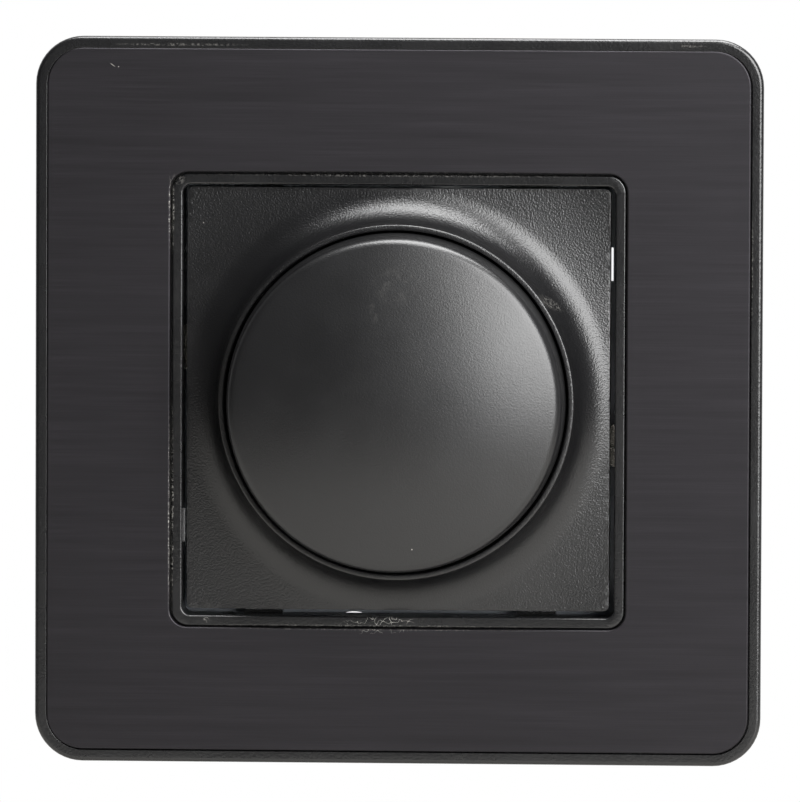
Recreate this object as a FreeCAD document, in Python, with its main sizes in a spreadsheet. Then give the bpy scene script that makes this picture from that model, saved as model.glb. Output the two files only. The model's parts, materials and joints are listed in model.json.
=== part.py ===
import FreeCAD, Part
import math
import os
import types
import Sketcher

# Rotary dimmer for a flush box: square frame, cover plate, push-and-turn knob, steel yoke and insert.
# X is to the right, Z is up, Y goes into the wall. The wall is the plane Y = 0 and the origin is the
# middle of the yoke. A height is a distance in front of the wall, so it is minus Y, and what lies in
# the box behind the wall has a negative height.

SIZES = {
    # square frame that carries the metal plate
    "frame_width": 86.0,
    "frame_corner": 5.7,
    "frame_front": 9.5,
    "frame_edge": 0.7,
    "frame_wall": 1.8,
    "frame_across": 0.07,
    "frame_drop": 0.17,
    "band_back": 4.0,
    "band_draft": 0.3,
    "band_inset": 1.0,
    "seat_thickness": 1.8,
    "lip_front": 9.2,
    "lip_edge": 0.2,
    "lip_back": 3.8,
    "lip_wall": 1.25,
    "cover_gap": 0.55,
    "opening_corner": 1.1,
    "rib_thickness": 1.2,
    "rib_place": 19.5,
    "rib_clearance": 0.3,
    # metal plate
    "rim_width": 1.45,
    "plate_corner": 4.3,
    "plate_thickness": 1.5,
    "plate_front": 9.6,
    "plate_bevel": 0.22,
    "plate_gap": 0.15,
    "window_corner": 2.15,
    # cover plate with its flared collar
    "cover_width": 50.0,
    "cover_corner": 0.7,
    "cover_front": 7.7,
    "cover_edge": 0.15,
    "collar_margin": 4.0,
    "cover_skin": 1.6,
    "skirt_wall": 1.4,
    "skirt_clearance": 0.2,
    "collar_top": 13.8,
    "collar_width": 0.7,
    "collar_edge": 0.25,
    "flare_radius": 5.6,
    "well_floor": 5.0,
    "well_wall": 1.4,
    "boss_radius": 8.5,
    "cover_rib": 1.2,
    "rib_back": 1.8,
    # knob
    "knob_gap": 0.3,
    "knob_taper": 0.3,
    "knob_shoulder": 18.3,
    "knob_edge": 0.5,
    "knob_crown": 2.8,
    "knob_skin": 1.8,
    "knob_rib": 1.2,
    "knob_rib_back": 12.0,
    "hub_radius": 5.2,
    "push_travel": 1.5,
    "push_clearance": 0.4,
    # shaft, bush and nut on the main axis
    "shaft_radius": 3.0,
    "shaft_front": 17.5,
    "shaft_flat": 1.6,
    "flat_back": 9.0,
    "bore_clearance": 0.3,
    "clip_thickness": 0.4,
    "clip_width": 3.6,
    "running_fit": 0.05,
    "bush_radius": 5.0,
    "bush_clearance": 0.2,
    "bush_proud": 0.2,
    "flange_radius": 7.5,
    "nut_height": 2.4,
    "nut_flats": 14.0,
    # steel yoke
    "yoke_margin": 7.5,
    "yoke_corner": 6.0,
    "yoke_thickness": 1.0,
    "screw_margin": 5.5,
    "screw_hole": 2.1,
    "keyhole_entry": 3.65,
    "keyhole_neck": 2.1,
    "keyhole_near": 10.6,
    "keyhole_far": 11.0,
    "side_slot_margin": 0.13,
    "side_slot_width": 1.13,
    "side_slot_low": 13.7,
    "side_slot_length": 4.0,
    # hooks of the frame in the yoke
    "hook_place": 16.2,
    "hook_width": 4.0,
    "hook_depth": 1.2,
    "hook_catch": 0.7,
    "hook_seat": 0.3,
    "hook_clearance": 0.25,
    # insert housing behind the yoke
    "housing_width": 44.0,
    "housing_chamfer": 8.5,
    "housing_wall": 1.6,
    "housing_depth": 24.0,
    "lid_thickness": 2.0,
    "tongue_depth": 2.5,
    "tongue_wall": 1.2,
    "tongue_clearance": 0.15,
    "post_inset": 6.9,
    "post_radius": 2.5,
    "post_shoulder": 0.8,
    "post_bore": 1.0,
    "lid_screw_radius": 1.3,
    "lid_screw_head": 2.3,
    "lid_screw_rise": 1.3,
    "lid_screw_length": 9.0,
    "driver_slot_depth": 0.7,
    "driver_slot_width": 0.6,
    # potentiometer
    "pot_radius": 8.5,
    "pot_wall": 0.8,
    "pot_depth": 7.5,
    "pin_block_width": 13.0,
    "pin_block_drop": 9.6,
    "pin_block_depth": 2.6,
    "pin_pitch": 4.5,
    "pin_inset": 0.7,
    "pin_width": 1.0,
    "pin_thickness": 0.5,
    "track_width": 2.6,
    "track_thickness": 0.6,
    "track_gap_angle": 60.0,
    "rotor_radius": 7.0,
    "rotor_thickness": 2.2,
    "rotor_hub": 4.4,
    "rotor_gap": 0.6,
    "wiper_gap": 0.1,
    "wiper_width": 1.6,
    # push switch
    "switch_width": 14.0,
    "switch_height": 12.0,
    "switch_wall": 1.2,
    "switch_clearance": 0.4,
    "plunger_radius": 1.3,
    "plunger_flange": 4.2,
    "flange_thickness": 1.0,
    "plunger_gap": 0.1,
    "spring_radius": 1.5,
    "spring_wire": 0.22,
    "spring_turns": 3.0,
    "bridge_length": 10.4,
    "bridge_width": 2.4,
    "bridge_thickness": 0.4,
    "contact_gap": 0.1,
    "blade_length": 1.4,
    "blade_thickness": 0.5,
    "blade_rise": 1.4,
    # circuit board and what stands on it
    "board_thickness": 1.6,
    "board_clearance": 0.4,
    "board_step": 0.8,
    "lead_tail": 1.2,
    "sink_margin": 8.4,
    "sink_thickness": 1.5,
    "triac_width": 10.0,
    "triac_length": 9.0,
    "triac_thickness": 3.2,
    "triac_pitch": 2.54,
    "tab_length": 3.4,
    "tab_thickness": 1.2,
    "rivet_radius": 1.1,
    "rivet_head": 0.5,
    "choke_radius": 5.6,
    "choke_bore": 2.9,
    "choke_height": 4.2,
    "choke_clearance": 0.5,
    "choke_up": 2.0,
    "winding_thickness": 0.8,
    "winding_angle": 300.0,
    "capacitor_length": 9.6,
    "capacitor_width": 4.6,
    "capacitor_height": 8.0,
    "capacitor_margin": 1.1,
    "capacitor_pitch": 5.6,
    "resistor_radius": 1.2,
    "resistor_length": 6.0,
    "resistor_pitch": 3.0,
    "resistor_margin": 0.9,
    "resistor_up": -5.4,
    "diac_radius": 0.9,
    "diac_length": 3.6,
    "diac_margin": 2.7,
    "diac_up": -7.6,
    "lead_radius": 0.3,
    "lead_reach": 1.4,
    "fuse_radius": 2.5,
    "fuse_length": 19.0,
    "fuse_cap": 4.5,
    "fuse_margin": 0.1,
    "clip_wall": 0.5,
    # terminals along the lower edge
    "terminal_pitch": 8.0,
    "cage_width": 5.6,
    "cage_height": 4.6,
    "cage_depth": 6.4,
    "cage_wall": 0.9,
    "cage_clearance": 0.4,
    "entry_width": 3.6,
    "terminal_screw": 1.4,
    "terminal_head": 1.9,
    "terminal_reach": 1.45,
    "bar_thickness": 0.8,
    # spreading claws at both sides
    "claw_gap": 1.3,
    "claw_up": -5.7,
    "claw_width": 9.4,
    "claw_thickness": 1.0,
    "claw_length": 17.0,
    "claw_tooth": 2.4,
    "claw_teeth": 4.0,
    "pivot_depth": 1.7,
    "pivot_radius": 0.75,
    "ear_thickness": 0.8,
    "ear_margin": 0.7,
    "ear_clearance": 0.2,
    "foot_depth": 4.4,
    "foot_thickness": 0.8,
    "foot_length": 4.9,
    "claw_screw_step": 2.9,
    "claw_screw_radius": 1.5,
    "claw_screw_head": 2.7,
    "claw_screw_rise": 1.8,
    "claw_screw_length": 9.0,
    "slot_clearance": 0.35,
    "claw_nut_width": 5.5,
    "claw_nut_height": 2.2,
    "nut_play": 0.3,
    "notch_clearance": 0.4,
}


class Size:
    """A number together with the sheet expression that gives it."""

    def __init__(self, number, text):
        self.number = number
        self.text = text

    def __add__(self, other):
        other = as_size(other)
        return Size(self.number + other.number, f"({self.text} + {other.text})")

    def __radd__(self, other):
        return as_size(other) + self

    def __sub__(self, other):
        other = as_size(other)
        return Size(self.number - other.number, f"({self.text} - {other.text})")

    def __rsub__(self, other):
        return as_size(other) - self

    def __mul__(self, other):
        other = as_size(other)
        return Size(self.number * other.number, f"({self.text} * {other.text})")

    def __rmul__(self, other):
        return as_size(other) * self

    def __truediv__(self, other):
        other = as_size(other)
        return Size(self.number / other.number, f"({self.text} / {other.text})")

    def __neg__(self):
        return 0 - self


def as_size(value):
    """Wrap a plain number, so that sizes and numbers add and multiply alike."""
    if isinstance(value, Size):
        return value
    return Size(float(value), f"({float(value)!r})")


def root(value):
    """Square root of a size."""
    return Size(math.sqrt(value.number), f"sqrt({value.text})")


def polar(radius, degrees):
    """The point at this radius and angle about the main axis."""
    angle = math.radians(degrees.number)
    across = Size(radius.number * math.cos(angle), f"({radius.text} * cos({degrees.text}))")
    up = Size(radius.number * math.sin(angle), f"({radius.text} * sin({degrees.text}))")
    return across, up


def bind(thing, name, value):
    """Drive one property of an object from the sheet."""
    thing.setExpression(name, as_size(value).text)


doc = FreeCAD.newDocument("rotary_dimmer")
sheet = doc.addObject("Spreadsheet::Sheet", "sizes")
for row, (word, number) in enumerate(SIZES.items(), start=1):
    sheet.set(f"A{row}", word)
    sheet.set(f"B{row}", str(number))
    sheet.setAlias(f"B{row}", word)
doc.recompute()
s = types.SimpleNamespace(**{word: Size(float(sheet.get(word)), f"sizes.{word}") for word in SIZES})

# Heights and radii that several pieces share
yoke_front = s.yoke_thickness
plate_back = s.plate_front - s.plate_thickness
frame_floor = plate_back - s.seat_thickness
plate_width = s.frame_width - 2 * s.rim_width
opening_width = s.cover_width + 2 * s.cover_gap
lip_width = opening_width + 2 * s.lip_wall
window_width = lip_width + 2 * s.plate_gap
base_width = s.frame_width - 2 * s.band_inset
yoke_width = s.frame_width - 2 * s.yoke_margin
screw_spacing = yoke_width - 2 * s.screw_margin
collar_radius = s.cover_width / 2 - s.collar_margin
collar_bore = collar_radius - s.collar_width
knob_radius = collar_bore - s.knob_gap
bush_hole = s.bush_radius + s.bush_clearance
bush_front = s.well_floor + s.nut_height + s.bush_proud
hub_back = bush_front + s.push_travel + s.push_clearance
knob_back = s.well_floor + s.push_travel + s.push_clearance
lid_back = -s.lid_thickness
pot_back = lid_back - s.pot_depth
shaft_back = pot_back + s.push_travel
flange_depth = 2 * s.switch_wall + s.rib_clearance + s.flange_thickness
switch_depth = flange_depth + s.bridge_thickness + s.push_travel + s.contact_gap + s.blade_rise
board_front = pot_back - s.switch_clearance - switch_depth
board_back = board_front - s.board_thickness
housing_back = -s.housing_depth
floor_front = housing_back + s.housing_wall
cage_back = floor_front + s.cage_clearance
inner_width = s.housing_width - 2 * s.housing_wall
inner_half = inner_width / 2
post_place = s.housing_width / 2 - s.post_inset
board_low = s.cage_height + s.board_step - inner_half
fuse_up = board_low + s.fuse_margin + s.clip_wall + s.fuse_radius
claw_place = s.housing_width / 2 + s.claw_gap
claw_screw_place = claw_place + s.claw_screw_step
foot_reach = claw_place + s.foot_length
lead_end = board_back - s.lead_tail

pieces = {}


def keep(label, thing):
    """Name a finished sub-part and list it for checking and export."""
    thing.Label = label
    pieces[label] = thing
    return thing


def new_body(label):
    """A body of its own for one sub-part."""
    return keep(label, doc.addObject("PartDesign::Body", label))


def origin_plane(body, role):
    """The body's own origin plane or axis with this role."""
    return [feature for feature in body.Origin.OriginFeatures if feature.Role == role][0]


def front_sketch(body, height):
    """A sketch parallel to the wall at this height: across is X, up is Z, its normal faces the room."""
    sketch = body.newObject("Sketcher::SketchObject", f"{body.Name}_face")
    sketch.AttachmentSupport = (origin_plane(body, "XZ_Plane"), "")
    sketch.MapMode = "FlatFace"
    bind(sketch, "AttachmentOffset.Base.z", height)
    return sketch


def section_sketch(body):
    """A sketch of a section through the main axis: across is the radius, up is Y."""
    sketch = body.newObject("Sketcher::SketchObject", f"{body.Name}_section")
    sketch.AttachmentSupport = (origin_plane(body, "XY_Plane"), "")
    sketch.MapMode = "FlatFace"
    return sketch


def place_point(sketch, shape, point, across, up):
    """Hold one point of a sketch at a place given by two sizes."""
    for kind, value in (("DistanceX", as_size(across)), ("DistanceY", as_size(up))):
        index = sketch.addConstraint(Sketcher.Constraint(kind, -1, 1, shape, point, value.number))
        sketch.setExpression(f"Constraints[{index}]", value.text)


def hold_radius(sketch, shape, radius):
    """Hold the radius of a circle or an arc."""
    index = sketch.addConstraint(Sketcher.Constraint("Radius", shape, as_size(radius).number))
    sketch.setExpression(f"Constraints[{index}]", as_size(radius).text)


def circle(sketch, across, up, radius):
    """A circle with its centre and radius driven by sizes."""
    centre = FreeCAD.Vector(as_size(across).number, as_size(up).number, 0)
    ring = Part.Circle(centre, FreeCAD.Vector(0, 0, 1), as_size(radius).number)
    shape = sketch.addGeometry(ring, False)
    place_point(sketch, shape, 3, across, up)
    hold_radius(sketch, shape, radius)


def arc_between(first, last, radius):
    """The arc from first to last, to the left for a positive radius and to the right for a negative one."""
    chord = last - first
    side = FreeCAD.Vector(-chord.y, chord.x, 0).normalize() * math.copysign(1, radius)
    rise = math.sqrt(max(radius * radius - chord.Length ** 2 / 4, 0))
    centre = (first + last) * 0.5 + side * rise
    start, end = (first, last) if radius > 0 else (last, first)
    low = math.atan2(start.y - centre.y, start.x - centre.x)
    high = math.atan2(end.y - centre.y, end.x - centre.x)
    ring = Part.Circle(centre, FreeCAD.Vector(0, 0, 1), abs(radius))
    return Part.ArcOfCircle(ring, low, high if high > low else high + 2 * math.pi)


def outline(sketch, points):
    """A closed line through points. A third value is the radius of the arc that arrives at the point."""
    places = [FreeCAD.Vector(as_size(p[0]).number, as_size(p[1]).number, 0) for p in points]
    spans = []
    for index, first in enumerate(places):
        following = (index + 1) % len(points)
        last = places[following]
        radius = as_size(points[following][2]) if len(points[following]) == 3 else None
        if radius is None:
            shape = sketch.addGeometry(Part.LineSegment(first, last), False)
            spans.append((shape, 1, 2))
            continue
        shape = sketch.addGeometry(arc_between(first, last, radius.number), False)
        spans.append((shape, 1, 2) if radius.number > 0 else (shape, 2, 1))
        hold_radius(sketch, shape, radius if radius.number > 0 else -radius)
    for index, (shape, start, end) in enumerate(spans):
        following = spans[(index + 1) % len(spans)]
        sketch.addConstraint(Sketcher.Constraint("Coincident", shape, end, following[0], following[1]))
        place_point(sketch, shape, start, points[index][0], points[index][1])


def rectangle(sketch, left, right, low, high):
    """A rectangle between four lines."""
    outline(sketch, [(left, low), (right, low), (right, high), (left, high)])


def rounded_square(sketch, width, corner):
    """A square about the axis with round corners."""
    far = width / 2
    near = far - corner
    outline(sketch, [
        (near, -far), (far, -near, corner), (far, near), (near, far, corner),
        (-near, far), (-far, near, corner), (-far, -near), (-near, -far, corner),
    ])


def eight_sided(sketch, width, chamfer):
    """A square about the axis with its corners cut off."""
    far = width / 2
    near = far - chamfer
    outline(sketch, [
        (near, -far), (far, -near), (far, near), (near, far),
        (-near, far), (-far, near), (-far, -near), (-near, -far),
    ])


def pad(body, sketch, length):
    """Add material from the sketch towards the room."""
    feature = body.newObject("PartDesign::Pad", f"{body.Name}_pad")
    feature.Profile = sketch
    bind(feature, "Length", length)
    sketch.Visibility = False
    return feature


def loft(body, first, second):
    """Add straight-sided material from one sketch to another of the same form."""
    feature = body.newObject("PartDesign::AdditiveLoft", f"{body.Name}_loft")
    feature.Profile = first
    feature.Sections = [second]
    feature.Ruled = True
    first.Visibility = False
    second.Visibility = False
    return feature


def pocket(body, sketch, length):
    """Take material away from the sketch towards the wall."""
    feature = body.newObject("PartDesign::Pocket", f"{body.Name}_pocket")
    feature.Profile = sketch
    bind(feature, "Length", length)
    sketch.Visibility = False
    return feature


def revolve(body, profile):
    """Turn a section of (radius, height) points about the main axis."""
    sketch = section_sketch(body)
    outline(sketch, [(p[0], -p[1]) + tuple(-radius for radius in p[2:]) for p in profile])
    feature = body.newObject("PartDesign::Revolution", f"{body.Name}_turned")
    feature.Profile = sketch
    feature.ReferenceAxis = (sketch, ["V_Axis"])
    feature.Angle = 360
    return feature


def soften(body, kind, size, wanted):
    """Round or bevel the edges of the body's tip that the test picks out."""
    doc.recompute()
    base = body.Tip
    names = [f"Edge{index}" for index, edge in enumerate(base.Shape.Edges, start=1) if wanted(edge)]
    feature = body.newObject(f"PartDesign::{kind}", f"{body.Name}_{kind.lower()}")
    feature.Base = (base, names)
    bind(feature, "Radius" if kind == "Fillet" else "Size", size)
    return feature


def at_height(edge, height):
    """True where the whole edge lies at this height in front of the wall."""
    return all(abs(vertex.Point.y + height.number) < 0.001 for vertex in edge.Vertexes)


def reach(edge):
    """How far the middle of an edge lies from the main axis, along X or along Z."""
    middle = edge.valueAt((edge.FirstParameter + edge.LastParameter) / 2)
    return max(abs(middle.x), abs(middle.z))


def block(across, height, up):
    """A box between two places across, two heights and two places up."""
    box = doc.addObject("Part::Box", "block")
    bind(box, "Length", across[1] - across[0])
    bind(box, "Width", height[1] - height[0])
    bind(box, "Height", up[1] - up[0])
    bind(box, "Placement.Base.x", across[0])
    bind(box, "Placement.Base.y", -as_size(height[1]))
    bind(box, "Placement.Base.z", up[0])
    return box


def rod(across, height, up, radius):
    """A round bar. The one place that is given as a pair is the direction it lies in."""
    bar = doc.addObject("Part::Cylinder", "rod")
    turned = {"across": FreeCAD.Rotation(FreeCAD.Vector(0, 1, 0), 90),
              "height": FreeCAD.Rotation(FreeCAD.Vector(1, 0, 0), 90), "up": FreeCAD.Rotation()}
    given = {"across": across, "height": height, "up": up}
    along = [word for word, value in given.items() if isinstance(value, tuple)][0]
    first = {word: value[0] if word == along else value for word, value in given.items()}
    bar.Placement = FreeCAD.Placement(FreeCAD.Vector(), turned[along])
    bind(bar, "Radius", radius)
    bind(bar, "Height", given[along][1] - given[along][0])
    bind(bar, "Placement.Base.x", first["across"])
    bind(bar, "Placement.Base.y", -as_size(first["height"]))
    bind(bar, "Placement.Base.z", first["up"])
    return bar


def fuse(*shapes):
    """Join shapes; those that do not touch stay separate solids of one group."""
    joined = doc.addObject("Part::MultiFuse", "joined")
    joined.Shapes = list(shapes)
    joined.Refine = True
    return joined


def cut(base, *tools):
    """Take one or more shapes away from another."""
    result = doc.addObject("Part::Cut", "cut")
    result.Base = base
    result.Tool = tools[0] if len(tools) == 1 else fuse(*tools)
    result.Refine = True
    return result


def hang(body):
    """Set a piece of the frame where the play of its hooks lets it hang, a little low and to the right."""
    bind(body, "Placement.Base.x", s.frame_across)
    bind(body, "Placement.Base.z", -s.frame_drop)


def make_trim_plate():
    """Stamped aluminium plate with a square window and bevelled front edges."""
    body = new_body("trim_plate")
    hang(body)
    face = front_sketch(body, plate_back)
    rounded_square(face, plate_width, s.plate_corner)
    rounded_square(face, window_width, s.window_corner)
    pad(body, face, s.plate_thickness)
    soften(body, "Chamfer", s.plate_bevel, lambda edge: at_height(edge, s.plate_front))


def make_frame_carrier():
    """Moulded carrier: band round the plate, seat, inner lip, ribs and hooks for the yoke."""
    body = new_body("frame_carrier")
    hang(body)
    band = front_sketch(body, s.band_back)
    rounded_square(band, s.frame_width - 2 * s.band_draft, s.frame_corner - s.band_draft)
    rim = front_sketch(body, s.frame_front)
    rounded_square(rim, s.frame_width, s.frame_corner)
    loft(body, band, rim)
    base = front_sketch(body, as_size(0))
    rounded_square(base, base_width, s.frame_corner - s.band_inset)
    pad(body, base, s.band_back)

    lip_corner = s.window_corner - s.plate_gap
    seat = front_sketch(body, s.frame_front)
    rounded_square(seat, plate_width + 2 * s.plate_gap, s.plate_corner + s.plate_gap)
    rounded_square(seat, lip_width, lip_corner)
    pocket(body, seat, s.frame_front - plate_back)
    lip = front_sketch(body, s.frame_front)
    rounded_square(lip, lip_width, lip_corner)
    pocket(body, lip, s.frame_front - s.lip_front)
    opening = front_sketch(body, s.lip_front)
    rounded_square(opening, opening_width, s.opening_corner)
    pocket(body, opening, s.lip_front)
    hollow = front_sketch(body, frame_floor)
    rounded_square(hollow, base_width - 2 * s.frame_wall, s.frame_corner - s.band_inset - s.frame_wall)
    rounded_square(hollow, lip_width, lip_corner)
    pocket(body, hollow, frame_floor)
    under_lip = front_sketch(body, s.lip_back)
    rounded_square(under_lip, lip_width, lip_corner)
    pocket(body, under_lip, s.lip_back)
    make_frame_ribs(body)
    make_frame_hooks(body)
    rim_middle = ((plate_width + s.frame_width) / 4).number
    soften(body, "Fillet", s.frame_edge,
           lambda edge: at_height(edge, s.frame_front) and reach(edge) > rim_middle)
    soften(body, "Fillet", s.lip_edge, lambda edge: at_height(edge, s.lip_front))


def make_frame_ribs(body):
    """Ribs across the hollow back, clear of the yoke, and the yoke's own recess."""
    start = yoke_front + s.rib_clearance
    ribs = front_sketch(body, start)
    near = lip_width / 2 - s.rib_thickness / 2
    far = base_width / 2 - s.frame_wall / 2
    for place in (-s.rib_place, s.rib_place):
        left = place - s.rib_thickness / 2
        right = place + s.rib_thickness / 2
        for low, high in ((-far, -near), (near, far)):
            rectangle(ribs, left, right, low, high)
            rectangle(ribs, low, high, left, right)
    pad(body, ribs, frame_floor - start)
    recess = front_sketch(body, yoke_front)
    rounded_square(recess, yoke_width + 2 * s.rib_clearance, s.yoke_corner)
    pocket(body, recess, yoke_front)


def make_frame_hooks(body):
    """Four hooks that reach through the yoke, each below a seat that rests on the yoke."""
    near = opening_width / 2
    far = lip_width / 2
    seats = front_sketch(body, yoke_front)
    hooks = front_sketch(body, -s.hook_depth)
    catches = front_sketch(body, -s.hook_depth)
    for place in (-s.hook_place, s.hook_place):
        left = place - s.hook_width / 2
        right = place + s.hook_width / 2
        seat_near = near - s.hook_seat
        rectangle(seats, left - s.hook_seat, right + s.hook_seat, seat_near, far)
        rectangle(seats, left - s.hook_seat, right + s.hook_seat, -far, -seat_near)
        rectangle(hooks, left, right, near, far)
        rectangle(hooks, left, right, -far, -near)
        rectangle(catches, left, right, far - s.hook_catch / 2, far + s.hook_catch)
        rectangle(catches, left, right, -far - s.hook_catch, -far + s.hook_catch / 2)
    pad(body, seats, s.lip_back - yoke_front)
    pad(body, hooks, s.hook_depth + yoke_front)
    pad(body, catches, s.hook_depth)


def make_cover_plate():
    """Moulded cover: flat square, flare up to the collar, well for the knob, boss on the yoke."""
    body = new_body("cover_plate")
    far = s.cover_width * math.sqrt(0.5) + s.cover_skin
    flare_top = s.cover_front + s.flare_radius
    flare_out = collar_radius + s.flare_radius
    back = s.cover_front - s.cover_skin
    wall = collar_bore + s.well_wall
    inner = s.flare_radius + s.cover_skin
    step = flare_out - wall
    hollow_top = flare_top - root(inner * inner - step * step)
    floor_back = s.well_floor - s.cover_skin
    revolve(body, [
        (bush_hole, s.well_floor),
        (collar_bore, s.well_floor),
        (collar_bore, s.collar_top),
        (collar_radius - s.collar_edge, s.collar_top),
        (collar_radius, s.collar_top - s.collar_edge, -s.collar_edge),
        (collar_radius, flare_top),
        (flare_out, s.cover_front, s.flare_radius),
        (far, s.cover_front),
        (far, back),
        (flare_out, back),
        (wall, hollow_top, -inner),
        (wall, floor_back),
        (s.boss_radius, floor_back),
        (s.boss_radius, yoke_front),
        (bush_hole, yoke_front),
    ])
    trim = front_sketch(body, s.collar_top + s.cover_skin)
    rounded_square(trim, 2 * far + s.cover_corner, s.cover_corner)
    rounded_square(trim, s.cover_width, s.cover_corner)
    pocket(body, trim, s.collar_top + s.cover_skin)

    start = yoke_front + s.skirt_clearance
    skirt = front_sketch(body, start)
    rounded_square(skirt, s.cover_width, s.cover_corner)
    rounded_square(skirt, s.cover_width - 2 * s.skirt_wall, s.cover_corner)
    pad(body, skirt, s.cover_front - s.cover_skin / 2 - start)
    ribs = front_sketch(body, s.rib_back)
    near = s.boss_radius - s.cover_rib / 2
    far_rib = s.cover_width / 2 - s.skirt_wall / 2
    half = s.cover_rib / 2
    rectangle(ribs, near, far_rib, -half, half)
    rectangle(ribs, -far_rib, -near, -half, half)
    rectangle(ribs, -half, half, near, far_rib)
    rectangle(ribs, -half, half, -far_rib, -near)
    pad(body, ribs, floor_back + s.cover_skin / 2 - s.rib_back)

    notch = s.claw_screw_head + s.notch_clearance
    rise = yoke_front + s.claw_screw_rise + s.notch_clearance
    notches = front_sketch(body, rise)
    low = s.cover_width / 2 - s.skirt_wall - s.notch_clearance
    high = s.cover_width / 2 + s.notch_clearance
    rectangle(notches, low, high, s.claw_up - notch, s.claw_up + notch)
    rectangle(notches, -high, -low, -s.claw_up - notch, -s.claw_up + notch)
    pocket(body, notches, rise)
    edge_reach = (s.cover_width / 2 - s.cover_corner).number
    soften(body, "Fillet", s.cover_edge,
           lambda edge: at_height(edge, s.cover_front) and reach(edge) > edge_reach
           and edge.Curve.TypeId == "Part::GeomLine")


def make_knob():
    """Hollow domed knob with a hub for the shaft and ribs under the dome."""
    body = new_body("knob")
    rim = knob_radius - s.knob_taper
    crown_radius = (rim * rim + s.knob_crown * s.knob_crown) / (2 * s.knob_crown)
    top = s.knob_shoulder + s.knob_edge + s.knob_crown
    inner_rim = rim - s.knob_skin
    inner_top = top - s.knob_skin
    inner_crown = crown_radius - s.knob_skin
    inner_shoulder = inner_top - inner_crown + root(inner_crown * inner_crown - inner_rim * inner_rim)
    face = rim - s.knob_edge
    face_height = top - crown_radius + root(crown_radius * crown_radius - face * face)
    revolve(body, [
        (as_size(0), inner_top),
        (inner_rim, inner_shoulder, s.knob_skin - crown_radius),
        (knob_radius - s.knob_skin, knob_back),
        (knob_radius, knob_back),
        (knob_radius, s.collar_top),
        (rim, s.knob_shoulder),
        (face, face_height),
        (as_size(0), top, crown_radius),
    ])
    ribs = front_sketch(body, s.knob_rib_back)
    half = s.knob_rib / 2
    far = knob_radius - s.knob_skin / 2 - s.knob_taper
    rectangle(ribs, -far, far, -half, half)
    pad(body, ribs, inner_shoulder - s.knob_rib_back)
    ribs_up = front_sketch(body, s.knob_rib_back)
    rectangle(ribs_up, -half, half, -far, far)
    pad(body, ribs_up, inner_shoulder - s.knob_rib_back)
    hub = front_sketch(body, hub_back)
    circle(hub, as_size(0), as_size(0), s.hub_radius)
    pad(body, hub, inner_top - s.knob_skin / 4 - hub_back)
    bore_top = s.shaft_front + s.bore_clearance
    bore = front_sketch(body, bore_top)
    outline(bore, flatted_round(s.shaft_radius + s.running_fit, s.shaft_flat + s.clip_thickness))
    pocket(body, bore, bore_top - hub_back)
    soften(body, "Fillet", s.knob_edge / 2,
           lambda edge: at_height(edge, face_height) and reach(edge) > s.hub_radius.number)


def flatted_round(radius, flat):
    """Outline of a round shaft with one flat at this distance above its axis."""
    half = root(radius * radius - flat * flat)
    return [(-half, flat), (as_size(0), -radius, radius), (half, flat, radius)]


def make_knob_spring_clip():
    """Leaf spring between the shaft's flat and the hub."""
    half = s.clip_width / 2
    leaf = block((-half, half), (hub_back, s.shaft_front), (s.shaft_flat, s.shaft_flat + s.clip_thickness))
    keep("knob_spring_clip", leaf)


def make_control_shaft():
    """Steel shaft with one long flat at the knob end and another at the rotor end."""
    body = new_body("control_shaft")
    core = front_sketch(body, shaft_back)
    circle(core, as_size(0), as_size(0), s.shaft_radius)
    pad(body, core, s.shaft_front - shaft_back)
    far = s.shaft_radius + s.bore_clearance
    front_flat = front_sketch(body, s.shaft_front)
    rectangle(front_flat, -far, far, s.shaft_flat, far)
    pocket(body, front_flat, s.shaft_front - s.flat_back)
    back_flat = front_sketch(body, lid_back)
    rectangle(back_flat, -far, far, s.shaft_flat, far)
    pocket(body, back_flat, lid_back - shaft_back)


def make_bush_and_nut():
    """Brass bush with its flange behind the yoke, and the hexagon nut on top of the cover."""
    body = new_body("potentiometer_bush")
    bore = s.shaft_radius + s.running_fit
    revolve(body, [
        (bore, bush_front),
        (bore, lid_back),
        (s.flange_radius, lid_back),
        (s.flange_radius, as_size(0)),
        (s.bush_radius, as_size(0)),
        (s.bush_radius, bush_front),
    ])
    nut = new_body("retaining_nut")
    face = front_sketch(nut, s.well_floor)
    half = s.nut_flats / 2
    tip = s.nut_flats / math.sqrt(3)
    outline(face, [(tip, as_size(0)), (tip / 2, half), (-tip / 2, half),
                   (-tip, as_size(0)), (-tip / 2, -half), (tip / 2, -half)])
    circle(face, as_size(0), as_size(0), s.bush_radius)
    pad(nut, face, s.nut_height)


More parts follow.
